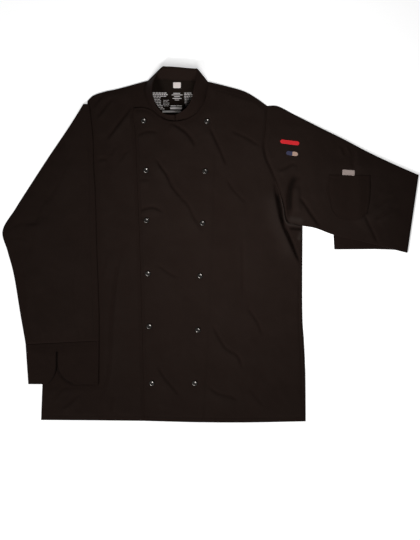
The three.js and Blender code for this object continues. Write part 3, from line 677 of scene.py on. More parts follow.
# %% Over panel
OVER_FOLDS = [
    # points, rise, steep side, gentle side
    ([(-89, 270), (-71, 258), (-54, 245), (-42, 230), (-34, 212)], 3.4, 5, 15),
    ([(-4, 261), (7, 236), (18, 213), (27, 192), (35, 170)], 2.8, 5, 16),
    ([(34, 146), (46, 124), (64, 104), (79, 88)], 1.5, 6, 19),
    ([(-122, 190), (-107, 166), (-97, 152), (-85, 127), (-73, 112), (-60, 99)], 3.3, 4.5, 15),
    ([(-72, 104), (-61, 98), (-48, 82), (-39, 63), (-17, 28)], 2.4, 5, 17),
    ([(-164, 237), (-149, 245), (-138, 248), (-116, 246)], 1.7, 5, 10),
    ([(-160, 69), (-147, 77), (-129, 81), (-116, 77), (-105, 69)], 2.6, 4.5, 12),
    ([(-158, 57), (-142, 60)], 1.4, 4, 8),
    ([(-162, 142), (-133, 142)], 1.2, 5, 10),
    ([(43, 250), (80, 233), (109, 215)], 1.8, 8, 20),
    ([(1, -173), (17, -204), (34, -230), (58, -245), (71, -276)], 2.6, 6, 19),
    ([(78, -138), (100, -168), (116, -204)], 2.0, 7, 19),
    ([(-8, -311), (14, -327), (45, -336), (62, -344)], 2.2, 6, 17),
    ([(84, -318), (104, -342), (120, -360)], 0.8, 7, 17),
    ([(-118, -267), (-103, -292), (-81, -318), (-67, -336)], 2.1, 6, 16),
    ([(-118, -45), (-96, -61), (-72, -74)], 1.8, 6, 16),
    ([(72, -116), (73, -47), (71, 16)], 1.6, 8, 20),
]
LEFT_STUDS = [(-147, 272), (-142, 163), (-141, 53), (-138, -64), (-135, -180), (-129, -305)]
RIGHT_STUDS = [(-8, 271), (-12, 161), (-18, 47), (-23, -69), (-28, -188), (-35, -305)]
SEAM_LINES = [
    # points, rise, left, right
    ([(10, 341), (34, 334), (62, 326), (98, 313)], -0.7, 2.2, 2.2),
    ([(201, -382), (200, -278), (194, -166), (194, -45)], -0.7, 2, 2),
]
UNDERARM = [
    # points, rise, left, right
    ([(198, -46), (182, -5), (169.5, 24), (160.5, 46), (154.5, 76), (150, 99), (145, 122), (138, 140)],
     -5.5, 3, 3),
    ([(188, -36), (168.5, 8), (151, 50), (144, 80), (139, 106), (134, 130)], 5.6, 19, 4.2),
    ([(154, 108), (157, 97), (160.5, 80), (162.5, 62), (165, 52), (170, 46), (184, 42), (201, 39)],
     3.4, 2, 2.4),
    ([(172, 36), (188, 35), (203, 33)], -3.4, 2.4, 2.4),
    ([(200, 28), (197, 20), (194, 10)], 1.8, 3, 3.4),
]
# Painted light by the right armhole: painted highlight on the lit strip and the spot below it, and painted
# shade in the deep fold and in the gap under the sleeve's edge.
UNDERARM_PAINTED_LIGHT = [
    # points, amount, left, right
    ([(154, 108), (157.5, 96), (161, 80), (163, 62), (165, 52), (171, 46), (184, 43), (204, 39)],
     2.2, 2.2, 2.6),
    ([(201, 30), (198, 20), (195, 8)], 0.9, 3.5, 5),
    ([(163, 40), (158, 54), (155.5, 70), (153, 84), (149, 100), (145, 116)], -1.3, 3.0, 3.0),
    ([(198, -46), (182, -5), (171, 22), (162, 42)], -0.8, 2.4, 2.4),
    ([(174, 36), (188, 35), (204, 33)], -0.9, 2.6, 2.6),
]
STEP_START = -1 * MM
STEP_END = 8 * MM
STUD_PRESS = 0.75
STUD_PRESS_REACH = 11 * MM
EDGE_RIPPLE = 0.3 * MM
EDGE_RIPPLE_RUN = 9 * MM
EDGE_RIPPLE_REACH = 7 * MM


def make_over():
    top_line = joined(smooth_line(OVER_NECK), smooth_line(RIGHT_SHOULDER))
    across, down = spread(lengths(top_line)[-1]), spread(lengths(smooth_line(OVER_EDGE))[-1])
    grid = fill(top_line, smooth_line(HEM_RIGHT), smooth_line(OVER_EDGE), right_line, across, down)
    x, y = grid[..., 0], grid[..., 1]
    gap = above(HEM_RIGHT, x, y)
    front = np.abs(beside(places(smooth_line(OVER_EDGE), np.linspace(0, 1, 60)), x, y)[0])
    sewn = np.abs(beside(places(right_line, np.linspace(0, 1, 90)), x, y)[0])
    collar = np.abs(beside(places(top_line, np.linspace(0, 1, 60)), x, y)[0])
    past = x - edge_x(UNDER_EDGE, y)
    lap = 1 - 0.5 * smooth(past, STEP_START, STEP_END) - 0.5 * smooth(past, 20 * MM, 84 * MM)
    calm = smooth(front, 2 * MM, 9 * MM) * smooth(sewn, 0.5 * MM, 5 * MM)
    calm = calm * smooth(collar, 3 * MM, 14 * MM) * smooth(gap, 2 * MM, 16 * MM)
    relief = folded(OVER_FOLDS, x, y) + unevenness(x, y, 0.075, 1.0 * MM, 7.0) + PUFF
    relief = relief + unevenness(x, y, RIPPLE_SIZE, RIPPLE_DEPTH, 8.0)
    relief = relief * calm
    for stud_x, stud_y in LEFT_STUDS + RIGHT_STUDS:
        from_stud = np.hypot(x - stud_x * MM, y - stud_y * MM)
        relief = relief * (1 - STUD_PRESS * np.exp(-((from_stud / STUD_PRESS_REACH) ** 2)))
    relief = relief + ridged(UNDERARM, x, y) * smooth(sewn, 0, 1.5 * MM) + ridged(SEAM_LINES, x, y)
    relief = np.maximum(relief, DEEPEST)
    ripple = EDGE_RIPPLE * (1 + np.sin(y / EDGE_RIPPLE_RUN)) * np.exp(-((front / EDGE_RIPPLE_REACH) ** 2))
    side = np.where(y < 0.035, sewn, 1.0)
    edge = np.minimum(np.minimum(gap, front), 1.0)
    top = LAYER + CAD_CLOTH + LAYER * lap + relief + ripple + hem_line(gap)
    top = top + rolled(edge) + rolled(side, 0.8 * MM)
    wall = WALL + 0.4 * MM * (1 - smooth(np.minimum(gap, front), HEM_FOLD - 1 * MM, HEM_FOLD + 0.5 * MM))
    # The relief's height sets the colour as on the under panel, and the underarm lines add painted highlight
    # and painted shade.
    wear_and_painted_light_amount = relief / WEAR_AND_PAINTED_LIGHT_RISE + ridged(UNDERARM_PAINTED_LIGHT, x, y) / MM
    low = lifted(grid[::2, ::2], below(top, wall))
    return shell("front_over_cloth", lifted(grid, top), low, black_twill, grid, wear_and_painted_light_amount), grid


front_over_cloth, over_grid = make_over()
print("over panel:", [round(s, 3) for s in extent(over_grid)], "m")

# %% [markdown]
# A sleeve is a tube that lies flat. Each cross section is a row of places from one folded edge to
# the other. The upper cloth goes one way over them and the lower cloth comes back, and both meet
# in a rounded edge. Solidify then gives the cloth its wall, inwards.

# %% Tubes
EDGE_TURN = np.radians([0, 30, 60, 90])
EDGE_REACH = 2.4 * MM
TUBE_RISE = 2 * CAD_CLOTH + CAD_GAP
TUCK_DEPTH = 0.5 * MM
TUCK_RISE = 1.2 * MM


def edge_shares(cells, width):
    """Shares across a flat tube and how round it is there, from 0 at an edge to 1."""
    turn = EDGE_REACH / width * (1 - np.cos(EDGE_TURN))
    middle = np.linspace(turn[-1], 1 - turn[-1], cells + 1)[1:-1]
    shares = np.concatenate([turn, middle, 1 - turn[::-1]])
    sides = np.sin(EDGE_TURN)
    return shares, np.concatenate([sides, np.ones(len(middle)), sides[::-1]])


def tube(name, plan, base, stack, round_off, lift, tuck, material, wear_and_painted_light_amount=None):
    """plan: stations by places in x and y. base: height of the lower cloth. stack: which way the
    upper cloth lies from it. lift: what the upper cloth adds. tuck: 1 where the end is pushed in."""
    stations, count = plan.shape[:2]
    tuck = tuck[:, None]
    rise = TUBE_RISE * (1 - tuck) + TUCK_RISE * tuck
    middle = tuck * TUCK_DEPTH + rise / 2
    upper = middle + rise / 2 * round_off + lift * (1 - tuck)
    lower = middle - rise / 2 * round_off
    foot = np.dstack([plan, base])
    top = foot + stack[:, None] * upper[..., None]
    bottom = foot + stack[:, None] * lower[..., None]
    loops = np.concatenate([top, bottom[:, -2:0:-1]], 1)
    size = loops.shape[1]
    index = np.arange(stations * size).reshape(stations, size)
    onward = np.roll(index, -1, 1)
    faces = np.stack([index[:-1], onward[:-1], onward[1:], index[1:]], -1).reshape(-1, 4)
    around = np.linalg.norm(np.diff(loops, axis=1, append=loops[:, :1]), axis=2)
    around = np.concatenate([np.zeros((stations, 1)), np.cumsum(around, 1)[:, :-1]], 1)
    along = np.linalg.norm(np.diff(foot.mean(1), axis=0), axis=1)
    along = np.concatenate([[0], np.cumsum(along)])[:, None] + 0 * around
    flat = np.dstack([around, -along]).reshape(-1, 2)
    wear_and_painted_light_amount = np.zeros((stations, count)) if wear_and_painted_light_amount is None else wear_and_painted_light_amount
    wear_and_painted_light_amount = np.concatenate([wear_and_painted_light_amount, 0 * bottom[:, -2:0:-1, 0]], 1).ravel()
    piece = add_mesh(name, loops.reshape(-1, 3), faces, material, flat, wear_and_painted_light_amount)
    face_outward(piece)
    wall = piece.modifiers.new("wall", "SOLIDIFY")
    wall.thickness = WALL
    wall.offset = -1
    bpy.context.view_layer.objects.active = piece
    bpy.ops.object.modifier_apply(modifier="wall")
    return piece


def crossings(outer, inner, shares, across):
    """Straight cross sections from an outer line to an inner one."""
    start, end = places(smooth_line(outer), shares), places(smooth_line(inner), shares)
    return start[:, None] * (1 - across[None, :, None]) + end[:, None] * across[None, :, None]


def all_up(stations):
    return np.tile(np.array([0.0, 0.0, 1.0]), (stations, 1))


# %% [markdown]
# The left sleeve starts flat at the shoulder, bends at the elbow on the table and comes down over
# the body. Where it crosses the body's side it climbs by the height of both panels.

# %% Left sleeve
LEFT_SLEEVE_FOLDS = [
    # points, rise, steep side, gentle side
    ([(-419, -56), (-389, 10), (-375, 78), (-358, 98), (-336, 129), (-305, 195), (-290, 215)], 0.9, 12, 24),
    ([(-294, -188), (-298, -100), (-292, -12), (-281, 54)], 0.6, 10, 20),
    ([(-397, -188), (-406, -122), (-411, -67)], 1.3, 8, 16),
    ([(-450, 28), (-428, 41), (-404, 50)], 0.8, 6, 12),
    ([(-446, 10), (-419, 14), (-393, 3)], 0.6, 6, 12),
    ([(-375, -217), (-373, -184)], 0.7, 4, 8),
    ([(-327, -217), (-323, -175)], 0.8, 4, 8),
    ([(-283, -215), (-287, -184)], 1.4, 4, 8),
    ([(-279, 292), (-283, 256), (-287, 230)], 0.8, 5, 10),
]
CLIMB_FULL = 26 * MM
CLIMB_NONE = 62 * MM
SLEEVE_PUFF = 2.6 * MM
# Lift at which the sleeve's lighter tone is full: partly wear, partly painted highlight.
SLEEVE_WEAR_AND_PAINTED_LIGHT_RISE = 22 * MM
SLEEVE_FALL = 34 * MM
TUCK_FADE = 4.5 * MM
SLEEVE_END_SHARE = 0.3


def on_body(x, y):
    """How high the body lifts what lies across its left side."""
    outside = edge_x(LEFT_ARMHOLE + LEFT_SIDE[1:], y) - x
    return 2 * LAYER * (1 - smooth(outside, CLIMB_FULL, CLIMB_NONE))


def sleeve_lift(plan, shares, folds, puff, seed, depth=0.9 * MM):
    x, y = plan[..., 0], plan[..., 1]
    belly = np.sin(np.pi * np.clip(shares, 0, 1)) ** 0.7
    room = np.minimum(1, np.linalg.norm(plan[:, -1] - plan[:, 0], axis=1) / 0.09)[:, None]
    edge = np.minimum(1, np.minimum(shares, 1 - shares) * 14)
    relief = folded(folds, x, y) + unevenness(x, y, 0.08, depth, seed)
    relief = relief + unevenness(x, y, RIPPLE_SIZE, RIPPLE_DEPTH, seed + 1)
    return room * (puff * belly + edge * np.maximum(relief, -0.8 * puff * belly))


def tucked(shares, length, start=0.0, end=0.0):
    """1 at an end that is pushed into its neighbour and 0 past it."""
    at = shares * length
    amount = np.zeros(len(shares))
    if start:
        amount = np.maximum(amount, 1 - smooth(at, start, start + TUCK_FADE))
    if end:
        amount = np.maximum(amount, 1 - smooth(length - at, end, end + TUCK_FADE))
    return amount


def make_left_sleeve():
    across, round_off = edge_shares(60, 0.16)
    length = lengths(smooth_line(LEFT_SLEEVE_INNER))[-1]
    down = spread(length, 2.7 * MM)
    outer = LEFT_SLEEVE_OUTER + [(-406.6, -225)]
    inner = LEFT_SLEEVE_INNER + [(-245, -217)]
    plan = crossings(outer, inner, down, across)
    lift = sleeve_lift(plan, across, LEFT_SLEEVE_FOLDS, SLEEVE_PUFF, 11.0)
    rise = smooth((1 - down) * length, 4 * MM, SLEEVE_FALL)
    lift = lift * (SLEEVE_END_SHARE + (1 - SLEEVE_END_SHARE) * rise)[:, None]
    base = on_body(plan[..., 0], plan[..., 1])
    tuck = tucked(down, length, end=4 * MM)
    # Where the sleeve stands up its tone is lighter: partly wear, partly painted highlight.
    wear_and_painted_light_amount = lift / SLEEVE_WEAR_AND_PAINTED_LIGHT_RISE
    piece = tube("sleeve_left_cloth", plan, base, all_up(len(down)), round_off, lift, tuck, black_twill, wear_and_painted_light_amount)
    return piece, plan, length


sleeve_left_cloth, left_plan, left_length = make_left_sleeve()
print("left sleeve:", round(left_length, 3), "m long")

# %% [markdown]
# A cuff is a shorter, stiffer tube that takes the sleeve's end in. Its upper cloth has a slit that
# opens to the hem between two rounded corners. A prism in that outline is cut out of it.

# %% Cuffs
SLIT = 1.2 * MM
CUFF_PUFF = 2.0 * MM
CUFF_UNEVEN = 0.3 * MM
CUFF_STIFFNESS = 0.5 * MM
CUFF_RISE = 24 * MM
CUFF_END_SHARE = 0.15
CUT_FROM = 1.2 * MM
CUT_PAST = 20 * MM
LIP_DROP = 0.4 * MM
LIP_WIDTH = 2.0 * MM
LIP_SHADE = 0.8
LEFT_NOTCH = {"middle": -338, "top": -236, "fork": -264, "hem": -307, "low": -357, "high": -303}
RIGHT_NOTCH = {"middle": 86, "top": 338, "fork": 300, "hem": 262, "low": 66, "high": 108}


def notch_outline(notch):
    """The notch in its own measure: across from its middle, and along the arm."""
    top, fork, hem = notch["top"] * MM, notch["fork"] * MM, notch["hem"] * MM
    low, high = (notch["low"] - notch["middle"]) * MM, (notch["high"] - notch["middle"]) * MM
    past = hem + math.copysign(10 * MM, hem - top)
    bend = (fork + 2 * hem) / 3
    share = np.linspace(0, 1, 11)[:, None]

    def arc(start, pull, end):
        start, pull, end = np.array(start), np.array(pull), np.array(end)
        return (1 - share) ** 2 * start + 2 * share * (1 - share) * pull + share**2 * end

    one = arc((-SLIT / 2, fork), (-SLIT, bend), (low, hem))
    other = arc((high, hem), (SLIT, bend), (SLIT / 2, fork))
    return np.vstack([[(-SLIT / 2, top)], one, [(low, past), (high, past)], other, [(SLIT / 2, top)]])


def cut_notch(piece, outline, bottom, top):
    """Takes a prism of this outline out of a piece."""
    count = len(outline)
    points = [(x, y, z) for z in (bottom, top) for x, y in outline]
    sides = [(i, (i + 1) % count, (i + 1) % count + count, i + count) for i in range(count)]
    faces = [tuple(range(count))[::-1], tuple(range(count, 2 * count))] + sides
    mesh = bpy.data.meshes.new("cutter")
    mesh.from_pydata(points, [], faces)
    cutter = new_object("cutter", mesh)
    pick(cutter)
    bpy.ops.object.mode_set(mode="EDIT")
    bpy.ops.mesh.select_all(action="SELECT")
    bpy.ops.mesh.normals_make_consistent(inside=False)
    bpy.ops.object.mode_set(mode="OBJECT")
    bpy.context.view_layer.objects.active = piece
    change = piece.modifiers.new("notch", "BOOLEAN")
    change.operation = "DIFFERENCE"
    change.solver = "EXACT"
    change.object = cutter
    bpy.ops.object.modifier_apply(modifier="notch")
    bpy.data.objects.remove(cutter)


def make_left_cuff():
    across, round_off = edge_shares(96, 0.156)
    length = lengths(smooth_line(LEFT_CUFF_OUTER))[-1]
    down = spread(length, 1.6 * MM)
    plan = crossings(LEFT_CUFF_OUTER, LEFT_CUFF_INNER, down, across)
    lift = sleeve_lift(plan, across, [], CUFF_PUFF, 17.0, CUFF_UNEVEN) + CUFF_STIFFNESS * round_off
    outline = notch_outline(LEFT_NOTCH) + np.array([LEFT_NOTCH["middle"] * MM, 0])
    from_cut = np.abs(beside(outline, plan[..., 0], plan[..., 1])[0])
    lift = lift * (CUFF_END_SHARE + (1 - CUFF_END_SHARE) * smooth(down * length, 0, CUFF_RISE))[:, None]
    lip = np.exp(-((from_cut / LIP_WIDTH) ** 2))
    lift = lift - LIP_DROP * lip
    base = on_body(plan[..., 0], plan[..., 1])
    up = all_up(len(down))
    # Besides the lip's real drop, the notch's edges get painted shade.
    piece = tube("cuff_left_cloth", plan, base, up, round_off, lift, 0 * down, black_twill, -LIP_SHADE * lip)
    cut_notch(piece, outline, 2 * LAYER + CUT_FROM, CUT_PAST)
    return piece, plan, length, outline


cuff_left_cloth, left_cuff_plan, left_cuff_length, left_notch = make_left_cuff()
print("left cuff:", round(left_cuff_length, 3), "m long")

# %% [markdown]
# The right sleeve runs out to the elbow and folds back beneath itself. Its sections turn over about
# the line of the fold. At the armhole it is tucked under the edge of the over panel.

# %% Right sleeve
RIGHT_SLEEVE_FOLDS = [
    # points, rise, steep side, gentle side
    ([(148, 160), (168, 170), (188, 179)], 3.6, 5, 12),
    ([(194, 104), (208, 86), (222, 64), (242, 38)], 3.8, 6.5, 14),
    ([(335, 69), (355, 28), (368, -1)], 1.6, 5, 14),
    ([(342, 61), (373, 87), (406, 107)], 2.6, 6, 14),
    ([(362, 53), (395, 72), (412, 85)], 2.6, 5, 12),
    ([(289, 217), (296, 195)], 2.6, 3.5, 7),
    ([(302, 217), (313, 199)], 1.9, 3.5, 7),
    ([(315, 168), (318, 208)], 2.0, 4, 9),
]
RIGHT_SLEEVE_RIDGES = [
    # points, rise, left, right
    ([(200, 150), (189, 147), (179, 130), (174, 110), (173, 90), (173, 72), (172, 60)], -5.4, 5.5, 6),
    ([(188, 132), (190, 108), (191, 86), (194, 66)], 3.0, 7, 19),
    ([(172, 54), (186, 54), (204, 50)], 0.8, 6, 6),
    ([(332, 200), (330, 140), (328, 90), (332, 30)], 3.0, 50, 16),
]
# Painted shade along the sleeve's deep fold by the armhole, and painted highlight on the lit strip at its
# lower edge.
RIGHT_SLEEVE_PAINTED_LIGHT = [
    # points, amount, left, right
    ([(196, 149), (186, 145), (179, 132), (175.5, 112), (175, 92), (175, 68)], -0.85, 4.5, 5.5),
    ([(170, 56), (186, 55), (206, 51)], 0.8, 6, 7),
]
RAMP_START = 172 * MM
RAMP_END = 236 * MM
HINGE = 2 * LAYER - CAD_GAP / 2
FOLD_TURNS = [20, 45, 70, 90, 110, 135, 160]
SLEEVE_REACH = 355 * MM
TUCK_REACH = 5 * MM
LOWEST_LIFT = -1.1 * MM


def make_right_sleeve():
    across, round_off = edge_shares(76, 0.21)
    outer = smooth_line(RIGHT_SLEEVE_TOP)
    along = np.concatenate([[0, 1, 2.2, 3.6, 5.2, 7], np.linspace(9.5, 355, 128)]) * MM / SLEEVE_REACH
    grid = fill(outer, smooth_line(RIGHT_SLEEVE_UNDER), right_armhole,
                smooth_line([RIGHT_SLEEVE_TOP[-1], RIGHT_SLEEVE_UNDER[-1]]), along, across)
    plan = grid.transpose(1, 0, 2)
    way = np.gradient(plan[0], axis=0)
    inward = np.stack([way[:, 1], -way[:, 0]], 1) / np.linalg.norm(way, axis=1)[:, None]
    depth = TUCK_REACH * (1 - smooth(across, 0.8, 0.96))
    plan = np.concatenate([(plan[0] + depth[:, None] * inward)[None], plan])
    reach = np.concatenate([[-TUCK_REACH], along * SLEEVE_REACH])
    tuck = 1 - smooth(reach, 0.5 * MM, 4.5 * MM)
    upper = len(reach)
    slack = np.clip(0.3 + 4 * (1 - reach / SLEEVE_REACH), 0, 1) * smooth(reach, 0, 8 * MM)
    lift = sleeve_lift(plan, across, RIGHT_SLEEVE_FOLDS, SLEEVE_PUFF, 23.0)
    lift = lift + ridged(RIGHT_SLEEVE_RIDGES, plan[..., 0], plan[..., 1]) * np.minimum(1, round_off)
    lift = np.maximum(lift, LOWEST_LIFT) * slack[:, None]
    base = 2 * LAYER * smooth(plan[..., 0], RAMP_START, RAMP_END)
    fold = plan[-1]
    forearm_shares = spread(0.1, 3.4 * MM)
    forearm = crossings(FOREARM_OUTER, FOREARM_INNER, forearm_shares, across)
    out = fold[-1] - fold[0]
    out = np.array([-out[1], out[0], 0]) / math.hypot(*out)
    up = np.array([0.0, 0.0, 1.0])
    turns = np.radians(FOLD_TURNS + [180] * len(forearm_shares))
    stack = np.concatenate([all_up(upper), np.sin(turns)[:, None] * out + np.cos(turns)[:, None] * up])
    ends = np.concatenate([np.tile(fold, (len(FOLD_TURNS), 1, 1)), forearm])
    hinge = HINGE + CAD_GAP / 2 * stack[upper:, 2][:, None] + np.zeros(ends.shape[:2])
    ends = ends + CAD_GAP / 2 * stack[upper:, None, :2]
    plan, base = np.concatenate([plan, ends]), np.concatenate([base, hinge])
    lift = np.concatenate([lift, np.zeros(ends.shape[:2])])
    tuck = np.concatenate([tuck, np.zeros(len(FOLD_TURNS)), tucked(forearm_shares, 0.1, end=1 * MM)])
    # The lift sets the colour: a lighter tone where the cloth stands up, partly wear and partly painted
    # highlight, and painted shade where it sinks. The listed lines add more painted highlight and painted
    # shade.
    wear_and_painted_light_amount = lift / SLEEVE_WEAR_AND_PAINTED_LIGHT_RISE
    wear_and_painted_light_amount[:upper] += ridged(RIGHT_SLEEVE_PAINTED_LIGHT, plan[:upper, :, 0], plan[:upper, :, 1]) / MM
    piece = tube("sleeve_right_cloth", plan, base, stack, round_off, lift, tuck, black_twill, wear_and_painted_light_amount)
    return piece, plan


sleeve_right_cloth, right_plan = make_right_sleeve()
print("right sleeve stations:", len(right_plan))

# %% [markdown]
# The right cuff lies under the sleeve with the forearm. Only its lower edge and its end show.

# %% Right cuff
def make_right_cuff():
    across, round_off = edge_shares(50, 0.155)
    length = lengths(smooth_line(RIGHT_CUFF_OUTER))[-1]
    down = spread(length, 3.2 * MM)
    start_outer, start_inner = (363, 147.3), (363, -10.2)
    plan = crossings([start_outer, RIGHT_CUFF_OUTER[1]], [start_inner, RIGHT_CUFF_INNER[1]], down, across)
    stack = -all_up(len(down))
    lift = np.zeros(plan.shape[:2])
    base = np.full(plan.shape[:2], HINGE - CAD_GAP / 2)
    piece = tube("cuff_right_cloth", plan, base, stack, round_off, lift, 0 * down, black_twill)
    outline = notch_outline(RIGHT_NOTCH)[:, ::-1] + np.array([0, RIGHT_NOTCH["middle"] * MM])
    cut_notch(piece, outline, -5 * MM, CUT_FROM)
    return piece, plan, length


cuff_right_cloth, right_cuff_plan, right_cuff_length = make_right_cuff()
print("right cuff:", round(right_cuff_length, 3), "m long")

# %% [markdown]
# Whatever lies on cloth is let down on to it. A ray from above finds the finished surface, and the
# pocket, the tags, the studs and every stitch take their height from it.

# %% Resting on cloth
def surface(*cloths):
    """A tester that gives the highest point and its normal over a place."""
    trees = []
    for cloth in cloths:
        mesh = cloth.data
        corners = [v.co.copy() for v in mesh.vertices]
        trees.append(BVHTree.FromPolygons(corners, [tuple(p.vertices) for p in mesh.polygons]))

    def over(x, y):
        found = [tree.ray_cast(Vector((x, y, 0.1)), Vector((0, 0, -1))) for tree in trees]
        found = [hit for hit in found if hit[0] is not None]
        if not found:
            return 0.0, Vector((0, 0, 1))
        best = max(found, key=lambda hit: hit[0].z)
        return best[0].z, best[1]

    return over


on_over = surface(front_over_cloth)
on_under = surface(front_under_cloth)
on_left = surface(sleeve_left_cloth)
on_left_cuff = surface(cuff_left_cloth)
on_right = surface(sleeve_right_cloth)


def let_down(grid, over, gap):
    """The lower heights of a small sheet that lies on a surface, softened."""
    heights = np.array([[over(x, y)[0] for x, y in row] for row in grid])
    for _ in range(3):
        padded = np.pad(heights, 1, mode="edge")
        around = padded[:-2, 1:-1] + padded[2:, 1:-1] + padded[1:-1, :-2] + padded[1:-1, 2:]
        heights = np.maximum(heights, 0.5 * heights + 0.125 * around)
    return heights + gap


# %% [markdown]
# The patch pocket is U shaped and lies on the upper sleeve. Its edges are turned under, so they are
# thicker than its middle.

# %% Sleeve pocket
POCKET_LEFT = [(258, 153), (253, 125), (258, 98), (265, 74)]
POCKET_RIGHT = [(351, 152), (351, 120), (349, 93), (344, 68)]
POCKET_HEM = [(265, 74), (279, 57), (300, 52), (326, 54), (344, 68)]
POCKET_CELL = 2.6 * MM
POCKET_GAP = 0.12 * MM


def make_pocket():
    down, across = spread(0.09, POCKET_CELL), spread(0.095, POCKET_CELL)
    top_line = smooth_line([POCKET_LEFT[0], POCKET_RIGHT[0]])
    grid = fill(top_line, smooth_line(POCKET_HEM), smooth_line(POCKET_LEFT), smooth_line(POCKET_RIGHT),
                across, down)
    low = let_down(grid, on_right, POCKET_GAP)
    from_side = np.minimum(across, 1 - across)[None] * 95 * MM
    from_end = np.minimum(down, 1 - down)[:, None] * 90 * MM
    rim = np.minimum(from_side, from_end)
    top = low + WALL + 0.3 * MM * (1 - smooth(rim, 5 * MM, 8 * MM)) + rolled(rim, 0.3 * MM)
    top = top + 0.6 * MM * smooth(rim, 6 * MM, 24 * MM)
    return shell("pocket_cloth", lifted(grid, top), lifted(grid, low)[::2, ::2], black_twill, grid), grid


pocket_cloth, pocket_grid = make_pocket()
on_pocket = surface(pocket_cloth, sleeve_right_cloth)
print("pocket:", [round(s, 3) for s in extent(pocket_grid)], "m")

# %% [markdown]
# The stand collar is one band. It runs from its end at the front round the back to its other end,
# leans in at the front and out at the back, and has a doubled cloth with a stiffener in it.

# %% Collar
COLLAR = [
    # seam x, seam y, seam height, edge x, edge y, edge height
    (-78.2, 272.8, 5.3, -78.6, 283.2, 31.5), (-98, 277, 5.3, -97, 284.4, 31.5),
    (-115, 288, 5.3, -110.5, 292.5, 31.5), (-131, 303, 3.8, -122, 311, 30),
    (-142, 322, 3.8, -128, 331, 29), (-146, 338, 3.8, -127, 350, 27),
    (-143, 350, 3.8, -119, 371, 23), (-138, 359, 3.8, -105, 390.4, 21),
    (-122, 362, 2.3, -99, 390.6, 18.5), (-100, 363, 2.3, -89, 390.4, 18.5),
    (-76, 361, 2.3, -70, 389, 19.5), (-50, 360, 2.3, -50, 387, 19.5),
    (-20, 360, 2.3, -35, 386, 18.5), (-6, 357, 5.3, -29, 385, 21.5),
    (-7, 346, 5.3, -31, 367, 22.5), (-10, 333, 5.3, -37, 342, 24.5),
    (-14, 317, 5.3, -41, 323, 24.5), (-31, 291, 5.3, -49, 306, 26.5),
    (-50, 279, 5.3, -58, 295, 28.5), (-76.6, 272.6, 5.3, -76.9, 283.3, 31.0),
]
COLLAR_WALL = 1.6 * MM
COLLAR_HEIGHT = 36 * MM
COLLAR_BULGE = 1.6 * MM
COLLAR_WAVE = 0.45 * MM


def make_collar():
    shares = np.linspace(0, 1, 181)
    rows = np.array(COLLAR)
    seam_line, edge_line = smooth_line(rows[:, :3]), smooth_line(rows[:, 3:])
    seam_run, edge_run = lengths(seam_line), lengths(edge_line)
    seam = places(seam_line, shares)
    edge = places(edge_line, np.interp(shares * seam_run[-1], seam_run, edge_run / edge_run[-1]))
    up = np.array([0, 0.04, 0.09, 0.16, 0.26, 0.38, 0.5, 0.62, 0.74, 0.84, 0.92, 0.965, 1.0])
    middle = seam[None] * (1 - up[:, None, None]) + edge[None] * up[:, None, None]
    middle[..., 2] += COLLAR_BULGE * np.sin(np.pi * up)[:, None]
    run = np.gradient(middle, axis=1)
    ruling = np.broadcast_to(edge - seam, run.shape)
    normal = np.cross(run, ruling)
    normal /= np.linalg.norm(normal, axis=2)[..., None]
    length = lengths(seam)
    wave = np.sin(length / (17 * MM)) + 0.7 * np.sin(length / (7.5 * MM) + 1.3)
    middle = middle + normal * (COLLAR_WAVE * wave * np.sin(np.pi * up)[:, None])[..., None]
    half = COLLAR_WALL / 2 * np.sqrt(1 - 0.8 * smooth(up, 0.93, 1.0))[:, None, None]
    flat = np.dstack(np.broadcast_arrays(length[None], up[:, None] * COLLAR_HEIGHT))
    one, other = middle - normal * half, middle + normal * half
    piece = shell("collar_cloth", one, other[::2, ::2], collar_twill, flat)
    face_outward(piece)
    return piece, middle, normal, length[-1]


collar_cloth, collar_middle, collar_normal, collar_length = make_collar()
print("collar:", round(float(collar_length), 3), "m long")

# %% [markdown]
# A press stud is a turned metal cap: a rounded rim, a raised ring and a dished middle. Its section
# is drawn as a line and spun once round. The twelve caps are copies of that one, each let down on
# to the cloth and tipped to its slope.

# %% Studs
STUD_PROFILE = [
    # radius, height
    (0, 1.45), (1.1, 1.35), (2.2, 1.45), (2.9, 1.8), (3.5, 2.3), (4.1, 2.45), (4.7, 2.35), (5.2, 1.95),
    (5.6, 1.5), (6.0, 1.15), (6.2, 0.7), (6.1, 0.25), (5.7, 0), (0, 0),
]
SPIN_STEPS = 48
FOOT_RADIUS = 5.6
FOOT_PLACES = 12


def turn_stud():
    points = [(radius * MM, 0, height * MM) for radius, height in STUD_PROFILE]
    mesh = bpy.data.meshes.new("stud")
    mesh.from_pydata(points, [(i, i + 1) for i in range(len(points) - 1)], [])
    stud = new_object("stud", mesh)
    pick(stud)
    bpy.ops.object.mode_set(mode="EDIT")
    bpy.ops.mesh.select_all(action="SELECT")
    bpy.ops.mesh.spin(steps=SPIN_STEPS, angle=2 * math.pi, center=(0, 0, 0), axis=(0, 0, 1))
    bpy.ops.mesh.select_all(action="SELECT")
    bpy.ops.mesh.remove_doubles(threshold=0.01 * MM)
    bpy.ops.mesh.normals_make_consistent(inside=False)
    bpy.ops.object.mode_set(mode="OBJECT")
    stud.data.shade_smooth()
    stud.data.materials.append(stud_metal)
    return stud


